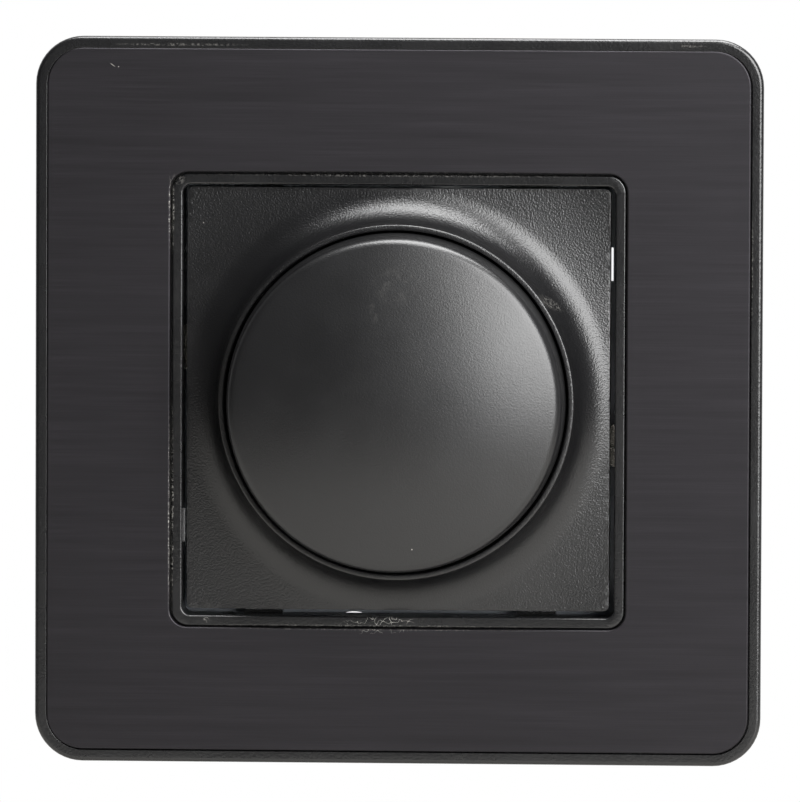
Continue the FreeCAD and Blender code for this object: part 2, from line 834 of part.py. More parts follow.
def make_yoke():
    """Steel yoke: screw holes, two curved keyholes, slots, and ears for the claws."""
    body = new_body("yoke")
    face = front_sketch(body, as_size(0))
    rounded_square(face, yoke_width, s.yoke_corner)
    pad(body, face, s.yoke_thickness)
    holes = front_sketch(body, yoke_front)
    circle(holes, as_size(0), as_size(0), bush_hole)
    for side in (-1, 1):
        circle(holes, side * screw_spacing / 2, as_size(0), s.screw_hole)
        circle(holes, side * claw_screw_place, side * s.claw_up, s.claw_screw_radius + s.running_fit)
        for other in (-1, 1):
            circle(holes, side * post_place, other * post_place, s.lid_screw_radius)
    for side in (-1, 1):
        slot_far = side * (s.cover_width / 2 + s.side_slot_margin)
        slot_near = slot_far - side * s.side_slot_width
        low = side * s.side_slot_low
        high = side * (s.side_slot_low + s.side_slot_length)
        rectangle(holes, *ordered(slot_near, slot_far), *ordered(low, high))
        for other in (-1, 1):
            place = side * s.hook_place
            half = s.hook_width / 2 + s.hook_clearance
            near = other * (opening_width / 2 - s.hook_clearance)
            far = other * (lip_width / 2 + s.hook_clearance)
            rectangle(holes, place - half, place + half, *ordered(near, far))
    pocket(body, holes, s.yoke_thickness)
    cut_keyhole(body, 1)
    cut_keyhole(body, -1)
    ears = front_sketch(body, -(s.pivot_depth + s.pivot_radius + s.ear_margin))
    for side in (-1, 1):
        for edge in (-1, 1):
            centre = side * s.claw_up + edge * (s.claw_width / 2 + s.ear_clearance + s.ear_thickness / 2)
            near = side * (claw_place - s.pivot_radius - s.ear_clearance)
            far = side * (claw_place + s.pivot_radius + s.ear_margin)
            rectangle(ears, *ordered(near, far), centre - s.ear_thickness / 2, centre + s.ear_thickness / 2)
    pad(body, ears, s.pivot_depth + s.pivot_radius + s.ear_margin)


def ordered(first, second):
    """Two sizes with the lower one first."""
    return (first, second) if first.number < second.number else (second, first)


def cut_keyhole(body, side):
    """Curved slot on the screw circle, above or below the middle, with a round entry at one end."""
    radius = screw_spacing / 2
    entry_angle = 90.0 * side - s.keyhole_near
    end_angle = 90.0 * side + s.keyhole_far
    slot = front_sketch(body, yoke_front)
    outline(slot, [
        polar(radius + s.keyhole_neck, entry_angle),
        polar(radius + s.keyhole_neck, end_angle) + (radius + s.keyhole_neck,),
        polar(radius - s.keyhole_neck, end_angle),
        polar(radius - s.keyhole_neck, entry_angle) + (s.keyhole_neck - radius,),
    ])
    pocket(body, slot, s.yoke_thickness)
    ends = front_sketch(body, yoke_front)
    circle(ends, *polar(radius, entry_angle), s.keyhole_entry)
    circle(ends, *polar(radius, end_angle), s.keyhole_neck)
    pocket(body, ends, s.yoke_thickness)


def make_housing_front():
    """Lid of the insert: flat against the yoke, with a tongue that centres the cup."""
    body = new_body("housing_front")
    face = front_sketch(body, lid_back)
    eight_sided(face, s.housing_width, s.housing_chamfer)
    circle(face, as_size(0), as_size(0), s.flange_radius)
    for side in (-1, 1):
        for other in (-1, 1):
            circle(face, side * post_place, other * post_place, s.lid_screw_radius)
    pad(body, face, s.lid_thickness)
    tongue = front_sketch(body, lid_back - s.tongue_depth)
    outer = inner_width - 2 * s.tongue_clearance
    eight_sided(tongue, outer, s.housing_chamfer - s.housing_wall / 2)
    eight_sided(tongue, outer - 2 * s.tongue_wall, s.housing_chamfer - s.housing_wall / 2 - s.tongue_wall / 2)
    pad(body, tongue, s.tongue_depth)
    relief = front_sketch(body, lid_back)
    for side in (-1, 1):
        for other in (-1, 1):
            circle(relief, side * post_place, other * post_place, s.post_radius + s.tongue_clearance)
    pocket(body, relief, s.tongue_depth)


def make_housing_rear():
    """Cup of the insert: eight-sided shell with stepped screw posts and openings at the terminals."""
    body = new_body("housing_rear")
    shell = front_sketch(body, housing_back)
    eight_sided(shell, s.housing_width, s.housing_chamfer)
    pad(body, shell, (-housing_back) - s.lid_thickness)
    room = front_sketch(body, lid_back)
    eight_sided(room, inner_width, s.housing_chamfer - s.housing_wall / 2)
    pocket(body, room, lid_back - floor_front)
    low_posts = front_sketch(body, floor_front)
    high_posts = front_sketch(body, floor_front)
    for side in (-1, 1):
        for other in (-1, 1):
            circle(low_posts, side * post_place, other * post_place, s.post_radius + s.post_shoulder)
            circle(high_posts, side * post_place, other * post_place, s.post_radius)
    pad(body, low_posts, board_back - floor_front)
    pad(body, high_posts, lid_back - floor_front)
    bores = front_sketch(body, lid_back)
    for side in (-1, 1):
        for other in (-1, 1):
            circle(bores, side * post_place, other * post_place, s.post_bore)
    pocket(body, bores, s.lid_screw_length)
    openings = front_sketch(body, floor_front)
    half = s.entry_width / 2
    centre = -(inner_width / 2 - s.cage_height / 2)
    for index in (-1, 0, 1):
        place = index * s.terminal_pitch
        rectangle(openings, place - half, place + half, centre - half, centre + half)
    pocket(body, openings, s.housing_wall)
    windows = front_sketch(body, cage_back + s.cage_depth / 2 + s.terminal_head + s.notch_clearance)
    window = s.terminal_head + s.notch_clearance
    for index in (-1, 0, 1):
        place = index * s.terminal_pitch
        rectangle(windows, place - window, place + window, -s.housing_width / 2 - s.housing_wall,
                  -inner_width / 2 + s.tongue_clearance)
    pocket(body, windows, 2 * window)


def make_housing_screws():
    """Four screws from the yoke through the lid into the posts."""
    screws = []
    slots = []
    slot_half = s.driver_slot_width / 2
    for side in (-1, 1):
        for other in (-1, 1):
            across = side * post_place
            up = other * post_place
            top = yoke_front + s.lid_screw_rise
            screws.append(rod(across, (yoke_front, top), up, s.lid_screw_head))
            screws.append(rod(across, (lid_back, yoke_front), up, s.lid_screw_radius))
            screws.append(rod(across, (lid_back - s.lid_screw_length, lid_back), up, s.post_bore))
            slots.append(block((across - s.lid_screw_head, across + s.lid_screw_head),
                               (top - s.driver_slot_depth, top), (up - slot_half, up + slot_half)))
    keep("housing_screws", cut(fuse(*screws), *slots))


def make_potentiometer():
    """Case with its pin block, the three pins, the horseshoe track and the rotor with its wiper."""
    body = new_body("potentiometer_body")
    front = front_sketch(body, lid_back - s.pot_wall)
    circle(front, as_size(0), as_size(0), s.pot_radius)
    circle(front, as_size(0), as_size(0), s.shaft_radius + s.bore_clearance)
    pad(body, front, s.pot_wall)
    wall = front_sketch(body, pot_back)
    circle(wall, as_size(0), as_size(0), s.pot_radius)
    circle(wall, as_size(0), as_size(0), s.pot_radius - s.pot_wall)
    pad(body, wall, s.pot_depth)
    back = front_sketch(body, pot_back)
    circle(back, as_size(0), as_size(0), s.pot_radius)
    circle(back, as_size(0), as_size(0), s.rotor_hub + s.bore_clearance)
    pad(body, back, s.pot_wall)
    pin_back = lid_back - s.pin_block_depth
    foot = front_sketch(body, pin_back)
    half = s.pin_block_width / 2
    inside = s.pot_radius - s.pot_wall / 2
    drop = root(inside * inside - half * half)
    low = -s.pin_block_drop
    outline(foot, [(-half, low), (half, low), (half, -drop), (-half, -drop, -inside)])
    pad(body, foot, s.pin_block_depth)

    pins = []
    for index in (-1, 0, 1):
        place = index * s.pin_pitch
        centre = s.pin_inset - s.pin_block_drop
        pins.append(block((place - s.pin_width / 2, place + s.pin_width / 2), (lead_end, pin_back),
                          (centre - s.pin_thickness / 2, centre + s.pin_thickness / 2)))
    keep("potentiometer_pins", fuse(*pins))

    track = new_body("resistive_track")
    track_back = lid_back - s.pot_wall - s.track_thickness
    face = front_sketch(track, track_back)
    outer = s.pot_radius - s.pot_wall - s.bore_clearance
    circle(face, as_size(0), as_size(0), outer)
    circle(face, as_size(0), as_size(0), outer - s.track_width)
    pad(track, face, s.track_thickness)
    gap = front_sketch(track, track_back + s.track_thickness)
    beyond = outer + s.track_width
    spread = beyond * math.tan(math.radians(s.track_gap_angle.number / 2))
    outline(gap, [(as_size(0), as_size(0)), (-spread, -beyond), (spread, -beyond)])
    pocket(track, gap, s.track_thickness)

    rotor_front = track_back - s.rotor_gap
    rotor_back = rotor_front - s.rotor_thickness
    rotor = new_body("wiper_rotor")
    disc = front_sketch(rotor, rotor_back)
    circle(disc, as_size(0), as_size(0), s.rotor_radius)
    pad(rotor, disc, s.rotor_thickness)
    hub = front_sketch(rotor, pot_back)
    circle(hub, as_size(0), as_size(0), s.rotor_hub)
    pad(rotor, hub, rotor_back - pot_back)
    bore = front_sketch(rotor, rotor_front)
    outline(bore, flatted_round(s.shaft_radius + s.running_fit, s.shaft_flat + s.running_fit))
    pocket(rotor, bore, rotor_front - pot_back)

    centre = outer - s.track_width / 2
    half = s.wiper_width / 2
    tip = block((-half, half), (rotor_front, track_back - s.wiper_gap), (centre - half, centre + half))
    keep("wiper_contact", tip)


def make_push_switch():
    """Case, plunger, coil spring, moving bridge and fixed blades of the push switch."""
    half_width = s.switch_width / 2
    half_height = s.switch_height / 2
    switch_front = pot_back - s.switch_clearance
    shell = block((-half_width, half_width), (board_front, switch_front), (-half_height, half_height))
    wide = half_width - s.switch_wall
    high = half_height - s.switch_wall
    room = block((-wide, wide), (board_front + s.switch_wall, switch_front - s.switch_wall), (-high, high))
    hole = rod(as_size(0), (switch_front - 2 * s.switch_wall, switch_front + s.switch_wall), as_size(0),
               s.plunger_radius + s.bore_clearance)
    tails = []
    for side in (-1, 1):
        tail = ordered(side * (s.bridge_length / 2 - s.blade_thickness), side * s.bridge_length / 2)
        tails.append(block(tail, (board_front, board_front + s.switch_wall),
                           (-s.pin_width / 2, s.pin_width / 2)))
    keep("switch_housing", cut(shell, room, hole, *tails))

    flange_front = switch_front - s.switch_wall - s.rib_clearance
    flange_back = flange_front - s.flange_thickness
    stem = rod(as_size(0), (flange_back, shaft_back - s.plunger_gap), as_size(0), s.plunger_radius)
    flange = rod(as_size(0), (flange_back, flange_front), as_size(0), s.plunger_flange)
    keep("switch_plunger", fuse(stem, flange))

    reach_across = s.bridge_length / 2
    reach_up = s.bridge_width / 2
    bridge_back = flange_back - s.bridge_thickness
    strip = block((-reach_across, reach_across), (bridge_back, flange_back), (-reach_up, reach_up))
    keep("contact_bridge", strip)

    floor = board_front + s.switch_wall
    blade_front = bridge_back - s.push_travel - s.contact_gap
    blades = []
    for side in (-1, 1):
        near = side * (reach_across - s.blade_length)
        far = side * reach_across
        foot_far = side * wide
        blades.append(block(ordered(near, foot_far), (blade_front - s.blade_thickness, blade_front),
                            (-reach_up, reach_up)))
        blades.append(block(ordered(side * (wide - s.blade_thickness), foot_far), (floor, blade_front),
                            (-reach_up, reach_up)))
        blades.append(block(ordered(side * (reach_across - s.blade_thickness), far), (lead_end, floor),
                            (-s.pin_width / 2, s.pin_width / 2)))
        blades.append(block(ordered(side * (reach_across - s.blade_thickness), foot_far),
                            (floor, floor + s.blade_thickness), (-reach_up, reach_up)))
    keep("contact_blades", fuse(*blades))

    spring = doc.addObject("Part::Feature", "switch_spring")
    length = (bridge_back - floor).number - 2 * s.spring_wire.number
    pitch = length / s.spring_turns.number
    helix = Part.makeHelix(pitch, length, s.spring_radius.number)
    start = FreeCAD.Vector(s.spring_radius.number, 0, 0)
    section = Part.Wire(Part.makeCircle(s.spring_wire.number, start, FreeCAD.Vector(0, 1, 0)))
    spring.Shape = Part.Wire(helix).makePipeShell([section], True, True)
    foot = FreeCAD.Vector(0, -(floor + s.spring_wire).number, 0)
    spring.Placement = FreeCAD.Placement(foot, FreeCAD.Rotation(FreeCAD.Vector(1, 0, 0), 90))
    keep("switch_spring", spring)


def make_circuit_board():
    """Board with cut corners, cleared round the screw posts and short of the terminals."""
    body = new_body("circuit_board")
    face = front_sketch(body, board_back)
    far = inner_width / 2 - s.board_clearance
    near = far - s.housing_chamfer + s.housing_wall / 2
    low = board_low
    low_corner = far + near + low
    outline(face, [(low_corner, low), (far, -near), (far, near), (near, far),
                   (-near, far), (-far, near), (-far, -near), (-low_corner, low)])
    pad(body, face, s.board_thickness)
    holes = front_sketch(body, board_front)
    for side in (-1, 1):
        circle(holes, side * post_place, post_place, s.post_radius + s.board_clearance)
        circle(holes, side * post_place, -post_place, s.post_radius + s.board_clearance)
    pocket(body, holes, s.board_thickness)
    slots = front_sketch(body, board_front)
    for index in (-1, 0, 1):
        place = index * s.pin_pitch
        centre = s.pin_inset - s.pin_block_drop
        rectangle(slots, place - s.pin_width / 2, place + s.pin_width / 2,
                  centre - s.pin_thickness / 2, centre + s.pin_thickness / 2)
    for side in (-1, 1):
        tail = ordered(side * (s.bridge_length / 2 - s.blade_thickness), side * s.bridge_length / 2)
        rectangle(slots, *tail, -s.pin_width / 2, s.pin_width / 2)
    pocket(body, slots, s.board_thickness)


def make_power_stage():
    """Triac riveted to an aluminium sink that leans on the lid."""
    sink_far = inner_width / 2 - s.tongue_clearance - s.tongue_wall - s.board_clearance
    sink_near = sink_far - s.sink_thickness
    half = inner_half - s.sink_margin
    sink = block((-half, half), (board_front, lid_back), (sink_near, sink_far))
    case_back = board_front + s.lead_reach
    case_front = case_back + s.triac_length
    case = block((-s.triac_width / 2, s.triac_width / 2), (case_back, case_front),
                 (sink_near - s.triac_thickness, sink_near))
    tab = block((-s.triac_width / 2, s.triac_width / 2), (case_front, case_front + s.tab_length),
                (sink_near - s.tab_thickness, sink_near))
    legs = []
    for index in (-1, 0, 1):
        place = index * s.triac_pitch
        centre = sink_near - s.triac_thickness / 2
        legs.append(block((place - s.pin_width / 2, place + s.pin_width / 2), (board_front, case_back),
                          (centre - s.pin_thickness / 2, centre + s.pin_thickness / 2)))
    rivet_height = case_front + s.tab_length / 2
    hole = rod(as_size(0), rivet_height, (sink_near - s.triac_thickness, sink_far + s.sink_thickness),
               s.rivet_radius)
    keep("triac", cut(fuse(case, tab, *legs), hole))
    sink_hole = rod(as_size(0), rivet_height, (sink_near - s.triac_thickness, sink_far + s.sink_thickness),
                    s.rivet_radius)
    keep("heat_sink", cut(sink, sink_hole))
    shank = rod(as_size(0), rivet_height, (sink_near - s.tab_thickness, sink_far), s.rivet_radius)
    head_far = sink_near - s.tab_thickness
    head = rod(as_size(0), rivet_height, (head_far - s.rivet_head, head_far), s.rivet_radius + s.rivet_head)
    keep("triac_rivet", fuse(shank, head))


def make_choke():
    """Ring core standing flat on the board with its winding round most of the ring."""
    base = board_front + s.winding_thickness
    top = base + s.choke_height
    centre = (s.choke_radius + s.winding_thickness + s.choke_clearance - inner_half, s.choke_up)
    outer = rod(centre[0], (base, top), centre[1], s.choke_radius)
    inner = rod(centre[0], (base - s.winding_thickness, top + s.winding_thickness), centre[1], s.choke_bore)
    keep("choke_core", cut(outer, inner))
    wrap = rod(centre[0], (board_front, top + s.winding_thickness), centre[1],
               s.choke_radius + s.winding_thickness)
    wrap.setExpression("Angle", s.winding_angle.text)
    core = rod(centre[0], (base, top), centre[1], s.choke_radius)
    bore = rod(centre[0], (board_front - s.winding_thickness, top + 2 * s.winding_thickness), centre[1],
               s.choke_bore - s.winding_thickness)
    hollow = rod(centre[0], (base, top), centre[1], s.choke_bore)
    keep("choke_winding", cut(wrap, cut(core, hollow), bore))


def make_small_parts():
    """Film capacitors, resistors and the trigger diode, each standing on the board."""
    boxes = []
    for index in (0, 1):
        low = s.capacitor_pitch * index + s.board_clearance
        far = inner_half - s.capacitor_margin
        boxes.append(block((far - s.capacitor_length, far),
                           (board_front, board_front + s.capacitor_height), (low, low + s.capacitor_width)))
    keep("film_capacitors", fuse(*boxes))
    rods = []
    for index in (0, 1, 2):
        up = s.resistor_up - index * s.resistor_pitch + s.resistor_pitch
        across = inner_half - s.resistor_margin - s.lead_radius - s.lead_reach - s.resistor_length / 2
        rods.extend(axial_part(across, up, s.resistor_radius, s.resistor_length))
    keep("resistors", fuse(*rods))
    across = s.diac_margin + s.lead_radius + s.lead_reach + s.diac_length / 2 - inner_half
    keep("diac", fuse(*axial_part(across, s.diac_up, s.diac_radius, s.diac_length)))


def axial_part(across, up, radius, length):
    """A round component that lies across the board on two bent leads."""
    height = board_front + s.resistor_radius + s.rib_clearance
    half = length / 2
    reach_out = half + s.lead_reach
    shapes = [rod((across - half, across + half), height, up, radius)]
    shapes.append(rod((across - reach_out, across + reach_out), height, up, s.lead_radius))
    for side in (-1, 1):
        shapes.append(rod(across + side * reach_out, (board_front, height), up, s.lead_radius))
    return shapes


def make_fuse():
    """Glass fuse in two clips below the potentiometer."""
    height = board_front + s.fuse_radius + s.clip_wall
    half = s.fuse_length / 2
    inner = half - s.fuse_cap
    glass = rod((-inner, inner), height, fuse_up, s.fuse_radius - s.lead_radius)
    keep("fuse_glass", glass)
    caps = []
    clips = []
    for side in (-1, 1):
        span = ordered(side * inner, side * half)
        caps.append(rod(span, height, fuse_up, s.fuse_radius))
        clip_span = ordered(side * (inner + s.clip_wall), side * (half - s.clip_wall))
        outer = s.fuse_radius + s.clip_wall
        saddle = block(clip_span, (board_front, height + s.fuse_radius / 2),
                       (fuse_up - outer, fuse_up + outer))
        clips.append(cut(saddle, rod(span, height, fuse_up, s.fuse_radius)))
    keep("fuse_caps", fuse(*caps))
    keep("fuse_clips", fuse(*clips))


def make_terminals():
    """Three clamp cages with their screws and the bars that join them to the board."""
    cages = []
    screws = []
    bars = []
    low = -inner_width / 2
    high = low + s.cage_height
    middle = cage_back + s.cage_depth / 2
    front = cage_back + s.cage_depth
    for index in (-1, 0, 1):
        place = index * s.terminal_pitch
        half = s.cage_width / 2
        shell = block((place - half, place + half), (cage_back, front), (low, high))
        room = block((place - half + s.cage_wall, place + half - s.cage_wall),
                     (cage_back - s.cage_wall, front + s.cage_wall), (low + s.cage_wall, high - s.cage_wall))
        thread = rod(place, middle, (low - s.cage_wall, low + 2 * s.cage_wall), s.terminal_screw)
        cages.append(cut(shell, room, thread))
        head_low = -s.housing_width / 2
        screws.append(rod(place, middle, (head_low, low), s.terminal_head))
        screws.append(rod(place, middle, (low, low + s.terminal_reach), s.terminal_screw))
        bar_half = half - s.cage_wall
        bar_low = high - s.cage_wall - s.bar_thickness
        bars.append(block((place - bar_half, place + bar_half), (cage_back, front + s.bar_thickness),
                          (bar_low, high - s.cage_wall)))
        bars.append(block((place - bar_half, place + bar_half), (front, front + s.bar_thickness),
                          (bar_low, board_low)))
        bars.append(block((place - s.pin_width, place + s.pin_width), (board_front, front + s.bar_thickness),
                          (board_low - s.bar_thickness, board_low)))
    slot_half = s.driver_slot_width / 2
    slot_up = (-s.housing_width / 2, -s.housing_width / 2 + s.driver_slot_depth)
    slots = [block((index * s.terminal_pitch - s.terminal_head, index * s.terminal_pitch + s.terminal_head),
                   (middle - slot_half, middle + slot_half), slot_up) for index in (-1, 0, 1)]
    keep("terminal_cages", fuse(*cages))
    keep("terminal_screws", cut(fuse(*screws), *slots))
    keep("terminal_bars", fuse(*bars))


def make_claw(name, side):
    """Spreading claw: pivot in the yoke's ears, leg with window, fork round the screw, teeth at the end."""
    up = side * s.claw_up
    half = s.claw_width / 2
    pivot = -s.pivot_depth
    place = side * claw_place
    pin_half = half + s.ear_clearance + s.ear_thickness
    pin = rod(place, pivot, (up - pin_half, up + pin_half), s.pivot_radius)
    near = side * (claw_place - s.claw_thickness / 2)
    far = side * (claw_place + s.claw_thickness / 2)
    end = pivot - s.claw_length
    leg = block(ordered(near, far), (end, pivot), (up - half, up + half))
    foot_front = -s.foot_depth
    foot_back = foot_front - s.foot_thickness
    slot = s.claw_screw_radius + s.slot_clearance
    nut_half = s.claw_nut_width / 2 + s.slot_clearance
    foot_half = nut_half + s.foot_thickness
    foot = block(ordered(near, side * foot_reach), (foot_back, foot_front), (up - foot_half, up + foot_half))
    beyond = side * (foot_reach + s.foot_thickness)
    gap = block(ordered(far, beyond), (foot_back - s.foot_thickness, foot_front + s.foot_thickness),
                (up - slot, up + slot))
    window_near = side * (claw_place - s.claw_thickness)
    window_end = foot_back - s.claw_nut_height - 2 * s.claw_screw_radius
    window_start = pivot - s.pivot_radius - s.slot_clearance
    window = block(ordered(window_near, far), (window_end, window_start), (up - nut_half, up + nut_half))
    teeth = []
    pitch = s.claw_width / s.claw_teeth
    tip = side * (claw_place + s.claw_thickness / 2 + s.claw_tooth)
    for index in range(int(s.claw_teeth.number)):
        low = up - half + pitch * index
        teeth.append(block(ordered(far, tip), (end, end + s.claw_thickness),
                           (low + pitch / 4, low + pitch * 3 / 4)))
    keep(name, cut(fuse(pin, leg, foot, *teeth), gap, window))


def make_claw_screw(screw_name, nut_name, side):
    """Claw screw from the front of the yoke, with the square nut that draws the fork forward."""
    across = side * claw_screw_place
    up = side * s.claw_up
    top = yoke_front + s.claw_screw_rise
    head = rod(across, (yoke_front, top), up, s.claw_screw_head)
    shank = rod(across, (-s.claw_screw_length, yoke_front), up, s.claw_screw_radius)
    slot_half = s.driver_slot_width / 2
    slot = block((across - s.claw_screw_head, across + s.claw_screw_head), (top - s.driver_slot_depth, top),
                 (up - slot_half, up + slot_half))
    keep(screw_name, cut(fuse(head, shank), slot))
    front = -(s.foot_depth + s.foot_thickness + s.nut_play)
    half = s.claw_nut_width / 2
    square = block((across - half, across + half), (front - s.claw_nut_height, front), (up - half, up + half))
    bore = rod(across, (front - 2 * s.claw_nut_height, front + s.claw_nut_height), up,
               s.claw_screw_radius + s.running_fit)
    keep(nut_name, cut(square, bore))


def drill_ears(yoke_body):
    """Holes in the yoke's ears for the pivots of the claws."""
    for side in (-1, 1):
        sketch = yoke_body.newObject("Sketcher::SketchObject", "yoke_pivot")
        sketch.AttachmentSupport = (origin_plane(yoke_body, "XY_Plane"), "")
        sketch.MapMode = "FlatFace"
        circle(sketch, side * claw_place, s.pivot_depth, s.pivot_radius + s.running_fit)
        feature = yoke_body.newObject("PartDesign::Pocket", "yoke_pivot_hole")
        feature.Profile = sketch
        feature.Midplane = True
        bind(feature, "Length", yoke_width)


make_trim_plate()
make_frame_carrier()
make_cover_plate()
make_knob()
make_knob_spring_clip()
make_control_shaft()
make_bush_and_nut()
make_yoke()
drill_ears(pieces["yoke"])
make_housing_front()
make_housing_rear()
make_housing_screws()
make_potentiometer()
make_push_switch()
make_circuit_board()
make_power_stage()
make_choke()
make_small_parts()
make_fuse()
make_terminals()
make_claw("claw_right", 1)
make_claw("claw_left", -1)
make_claw_screw("claw_screw_right", "claw_nut_right", 1)
make_claw_screw("claw_screw_left", "claw_nut_left", -1)
doc.recompute()

for thing in doc.Objects:
    broken = {"Invalid", "Error"} & set(thing.State)
    if broken:
        raise RuntimeError(f"{thing.Name} ({thing.Label}) failed: {thing.State}")

os.makedirs("parts", exist_ok=True)
for label, thing in pieces.items():
    shape = thing.Shape
    if shape.isNull() or not shape.isValid() or not shape.Solids:
        raise RuntimeError(f"{label} has no valid solid")
    print(f"{label}: {len(shape.Solids)} solids, {shape.Volume:.2f} cubic millimetres")
    shape.exportStep(f"parts/{label}.step")
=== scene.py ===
import json
import math
import bmesh
import bpy
from mathutils import Matrix, Vector


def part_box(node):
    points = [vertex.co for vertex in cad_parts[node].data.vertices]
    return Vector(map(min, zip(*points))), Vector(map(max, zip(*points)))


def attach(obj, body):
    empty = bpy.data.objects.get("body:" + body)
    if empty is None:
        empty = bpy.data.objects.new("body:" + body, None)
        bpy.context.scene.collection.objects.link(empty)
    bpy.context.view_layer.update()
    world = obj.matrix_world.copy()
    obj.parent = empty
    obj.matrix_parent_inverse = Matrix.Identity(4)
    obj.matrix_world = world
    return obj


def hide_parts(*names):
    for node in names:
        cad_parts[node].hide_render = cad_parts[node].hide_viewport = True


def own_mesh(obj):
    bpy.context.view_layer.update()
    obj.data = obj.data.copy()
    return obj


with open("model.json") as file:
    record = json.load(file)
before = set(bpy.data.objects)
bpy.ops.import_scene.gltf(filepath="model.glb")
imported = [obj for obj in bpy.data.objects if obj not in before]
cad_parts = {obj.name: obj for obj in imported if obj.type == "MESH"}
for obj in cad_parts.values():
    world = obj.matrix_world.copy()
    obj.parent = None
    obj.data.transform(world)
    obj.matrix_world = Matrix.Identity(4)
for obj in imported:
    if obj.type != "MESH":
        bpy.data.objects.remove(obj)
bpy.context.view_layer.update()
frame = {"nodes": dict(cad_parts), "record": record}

# Camera: a long lens about a metre and a half in front of the plate, slightly to its right and above
# it, and turned a fraction of a degree. Directions are kept in degrees and places in millimetres.
MM = 0.001
CAMERA_TARGET = Vector((-0.2, 0, -0.8)) * MM
CAMERA_DISTANCE = 1.51
CAMERA_RIGHT_DEGREES = 2.9
CAMERA_UP_DEGREES = 4.2
CAMERA_ROLL_DEGREES = 0.22
FOCAL_PIXELS = 12712
IMAGE_WIDTH = 800


def towards(right_degrees, up_degrees):
    """The direction from the middle of the plate to a place in the room in front of it."""
    across = math.radians(right_degrees)
    up = math.radians(up_degrees)
    return Vector((math.sin(across) * math.cos(up), -math.cos(across) * math.cos(up), math.sin(up)))


camera_data = bpy.data.cameras.new("camera")
camera_data.sensor_fit = "HORIZONTAL"
camera_data.lens = FOCAL_PIXELS / IMAGE_WIDTH * camera_data.sensor_width
camera = bpy.data.objects.new("camera", camera_data)
bpy.context.scene.collection.objects.link(camera)
backwards = towards(CAMERA_RIGHT_DEGREES, CAMERA_UP_DEGREES)
level = Vector((0, 0, 1)).cross(backwards).normalized()
turned = Matrix.Rotation(math.radians(CAMERA_ROLL_DEGREES), 3, backwards) @ level
camera_turn = Matrix((turned, backwards.cross(turned), backwards)).transposed()
camera.matrix_world = Matrix.Translation(CAMERA_TARGET + backwards * CAMERA_DISTANCE) @ camera_turn.to_4x4()
bpy.context.scene.camera = camera
bpy.context.scene.view_settings.view_transform = "Standard"

# Yoke: fixing plate of the insert, stamped from 1 mm steel sheet, bent at the ears and zinc plated in a
# drum. It is screwed to the flush box, and shows as a bluish grey in the gap round the cover.
ZINC = "#8d9197"
ZINC_CLOUD = "#a7abb2"
STAMPED_EDGE = 0.08
SMALL_EDGE = 0.06
SCRATCH = 0.35
SCRATCH_DEPTH = 0.004
SMOOTH_DEGREES = 30
FLAT_DEGREES = 0.05
CORNER_DEGREES = 50
MERGE = 0.001
ROOT_BODY = "insert_and_frame"
BODIES = frame["record"]["behaviour"]["bodies"]
body_of_node = {node: body for body, nodes in BODIES.items() for node in nodes}
slot_of_node = {part["node"]: part["material_slot"] for part in frame["record"]["subparts"]}
# The sockets of a mix node that are in use when it mixes colours.
MIX_SHARE = 0
MIX_FIRST = 6
MIX_LAST = 7
MIX_COLOUR = 2


def colour(code):
    """The linear colour of an sRGB hex value."""
    shares = [int(code[start:start + 2], 16) / 255 for start in (1, 3, 5)]
    linear = [share / 12.92 if share <= 0.04045 else ((share + 0.055) / 1.055) ** 2.4 for share in shares]
    return linear + [1.0]


def add(tree, kind, settings, inputs):
    """Add one shader node. Each input is a plain value or the output of another node."""
    made = tree.nodes.new("ShaderNode" + kind)
    for word, value in settings.items():
        setattr(made, word, value)
    for word, value in inputs.items():
        if isinstance(value, bpy.types.NodeSocket):
            tree.links.new(value, made.inputs[word])
        else:
            made.inputs[word].default_value = value
    return made


def start_material(name):
    """A new material, its nodes, its shader, and the place on the piece in millimetres."""
    material = bpy.data.materials.new(name)
    material.use_nodes = True
    tree = material.node_tree
    metres = add(tree, "TexCoord", {}, {}).outputs["Object"]
    place = add(tree, "VectorMath", {"operation": "SCALE"}, {0: metres, "Scale": 1 / MM})
    return material, tree, tree.nodes["Principled BSDF"], place.outputs[0]


def tinted(tree, shader, share, first, last):
    """Let the surface go from one colour to another with a pattern, and return that colour."""
    blend = add(tree, "Mix", {"data_type": "RGBA"}, {MIX_SHARE: share, MIX_FIRST: first, MIX_LAST: last})
    tree.links.new(blend.outputs[MIX_COLOUR], shader.inputs["Base Color"])
    return blend.outputs[MIX_COLOUR]


def worn(tree, shader, pattern, roughness, spread):
    """Let the roughness vary with a pattern by this much to either side."""
    uneven = add(tree, "MapRange", {}, {"Value": pattern, "To Min": roughness - spread,
                                        "To Max": roughness + spread})
    tree.links.new(uneven.outputs[0], shader.inputs["Roughness"])


def raised(tree, shader, height, depth):
    """Let a pattern from 0 to 1 stand this many millimetres high on the surface."""
    bump = add(tree, "Bump", {}, {"Height": height, "Distance": depth * MM, "Strength": 1.0})
    tree.links.new(bump.outputs[0], shader.inputs["Normal"])


def plated(name, code, cloud_code, roughness, cloud, metallic=1.0):
    """Plated metal. The coat is cloudy in patches of this width in millimetres, and finely scratched."""
    material, tree, shader, place = start_material(name)
    patches = add(tree, "TexNoise", {}, {"Vector": place, "Scale": 1 / cloud, "Detail": 3.0})
    tinted(tree, shader, patches.outputs["Fac"], colour(code), colour(cloud_code))
    worn(tree, shader, patches.outputs["Fac"], roughness, 0.08)
    shader.inputs["Metallic"].default_value = metallic
    scratches = add(tree, "TexNoise", {}, {"Vector": place, "Scale": 1 / SCRATCH, "Detail": 1.0})
    raised(tree, shader, scratches.outputs["Fac"], SCRATCH_DEPTH)
    return material


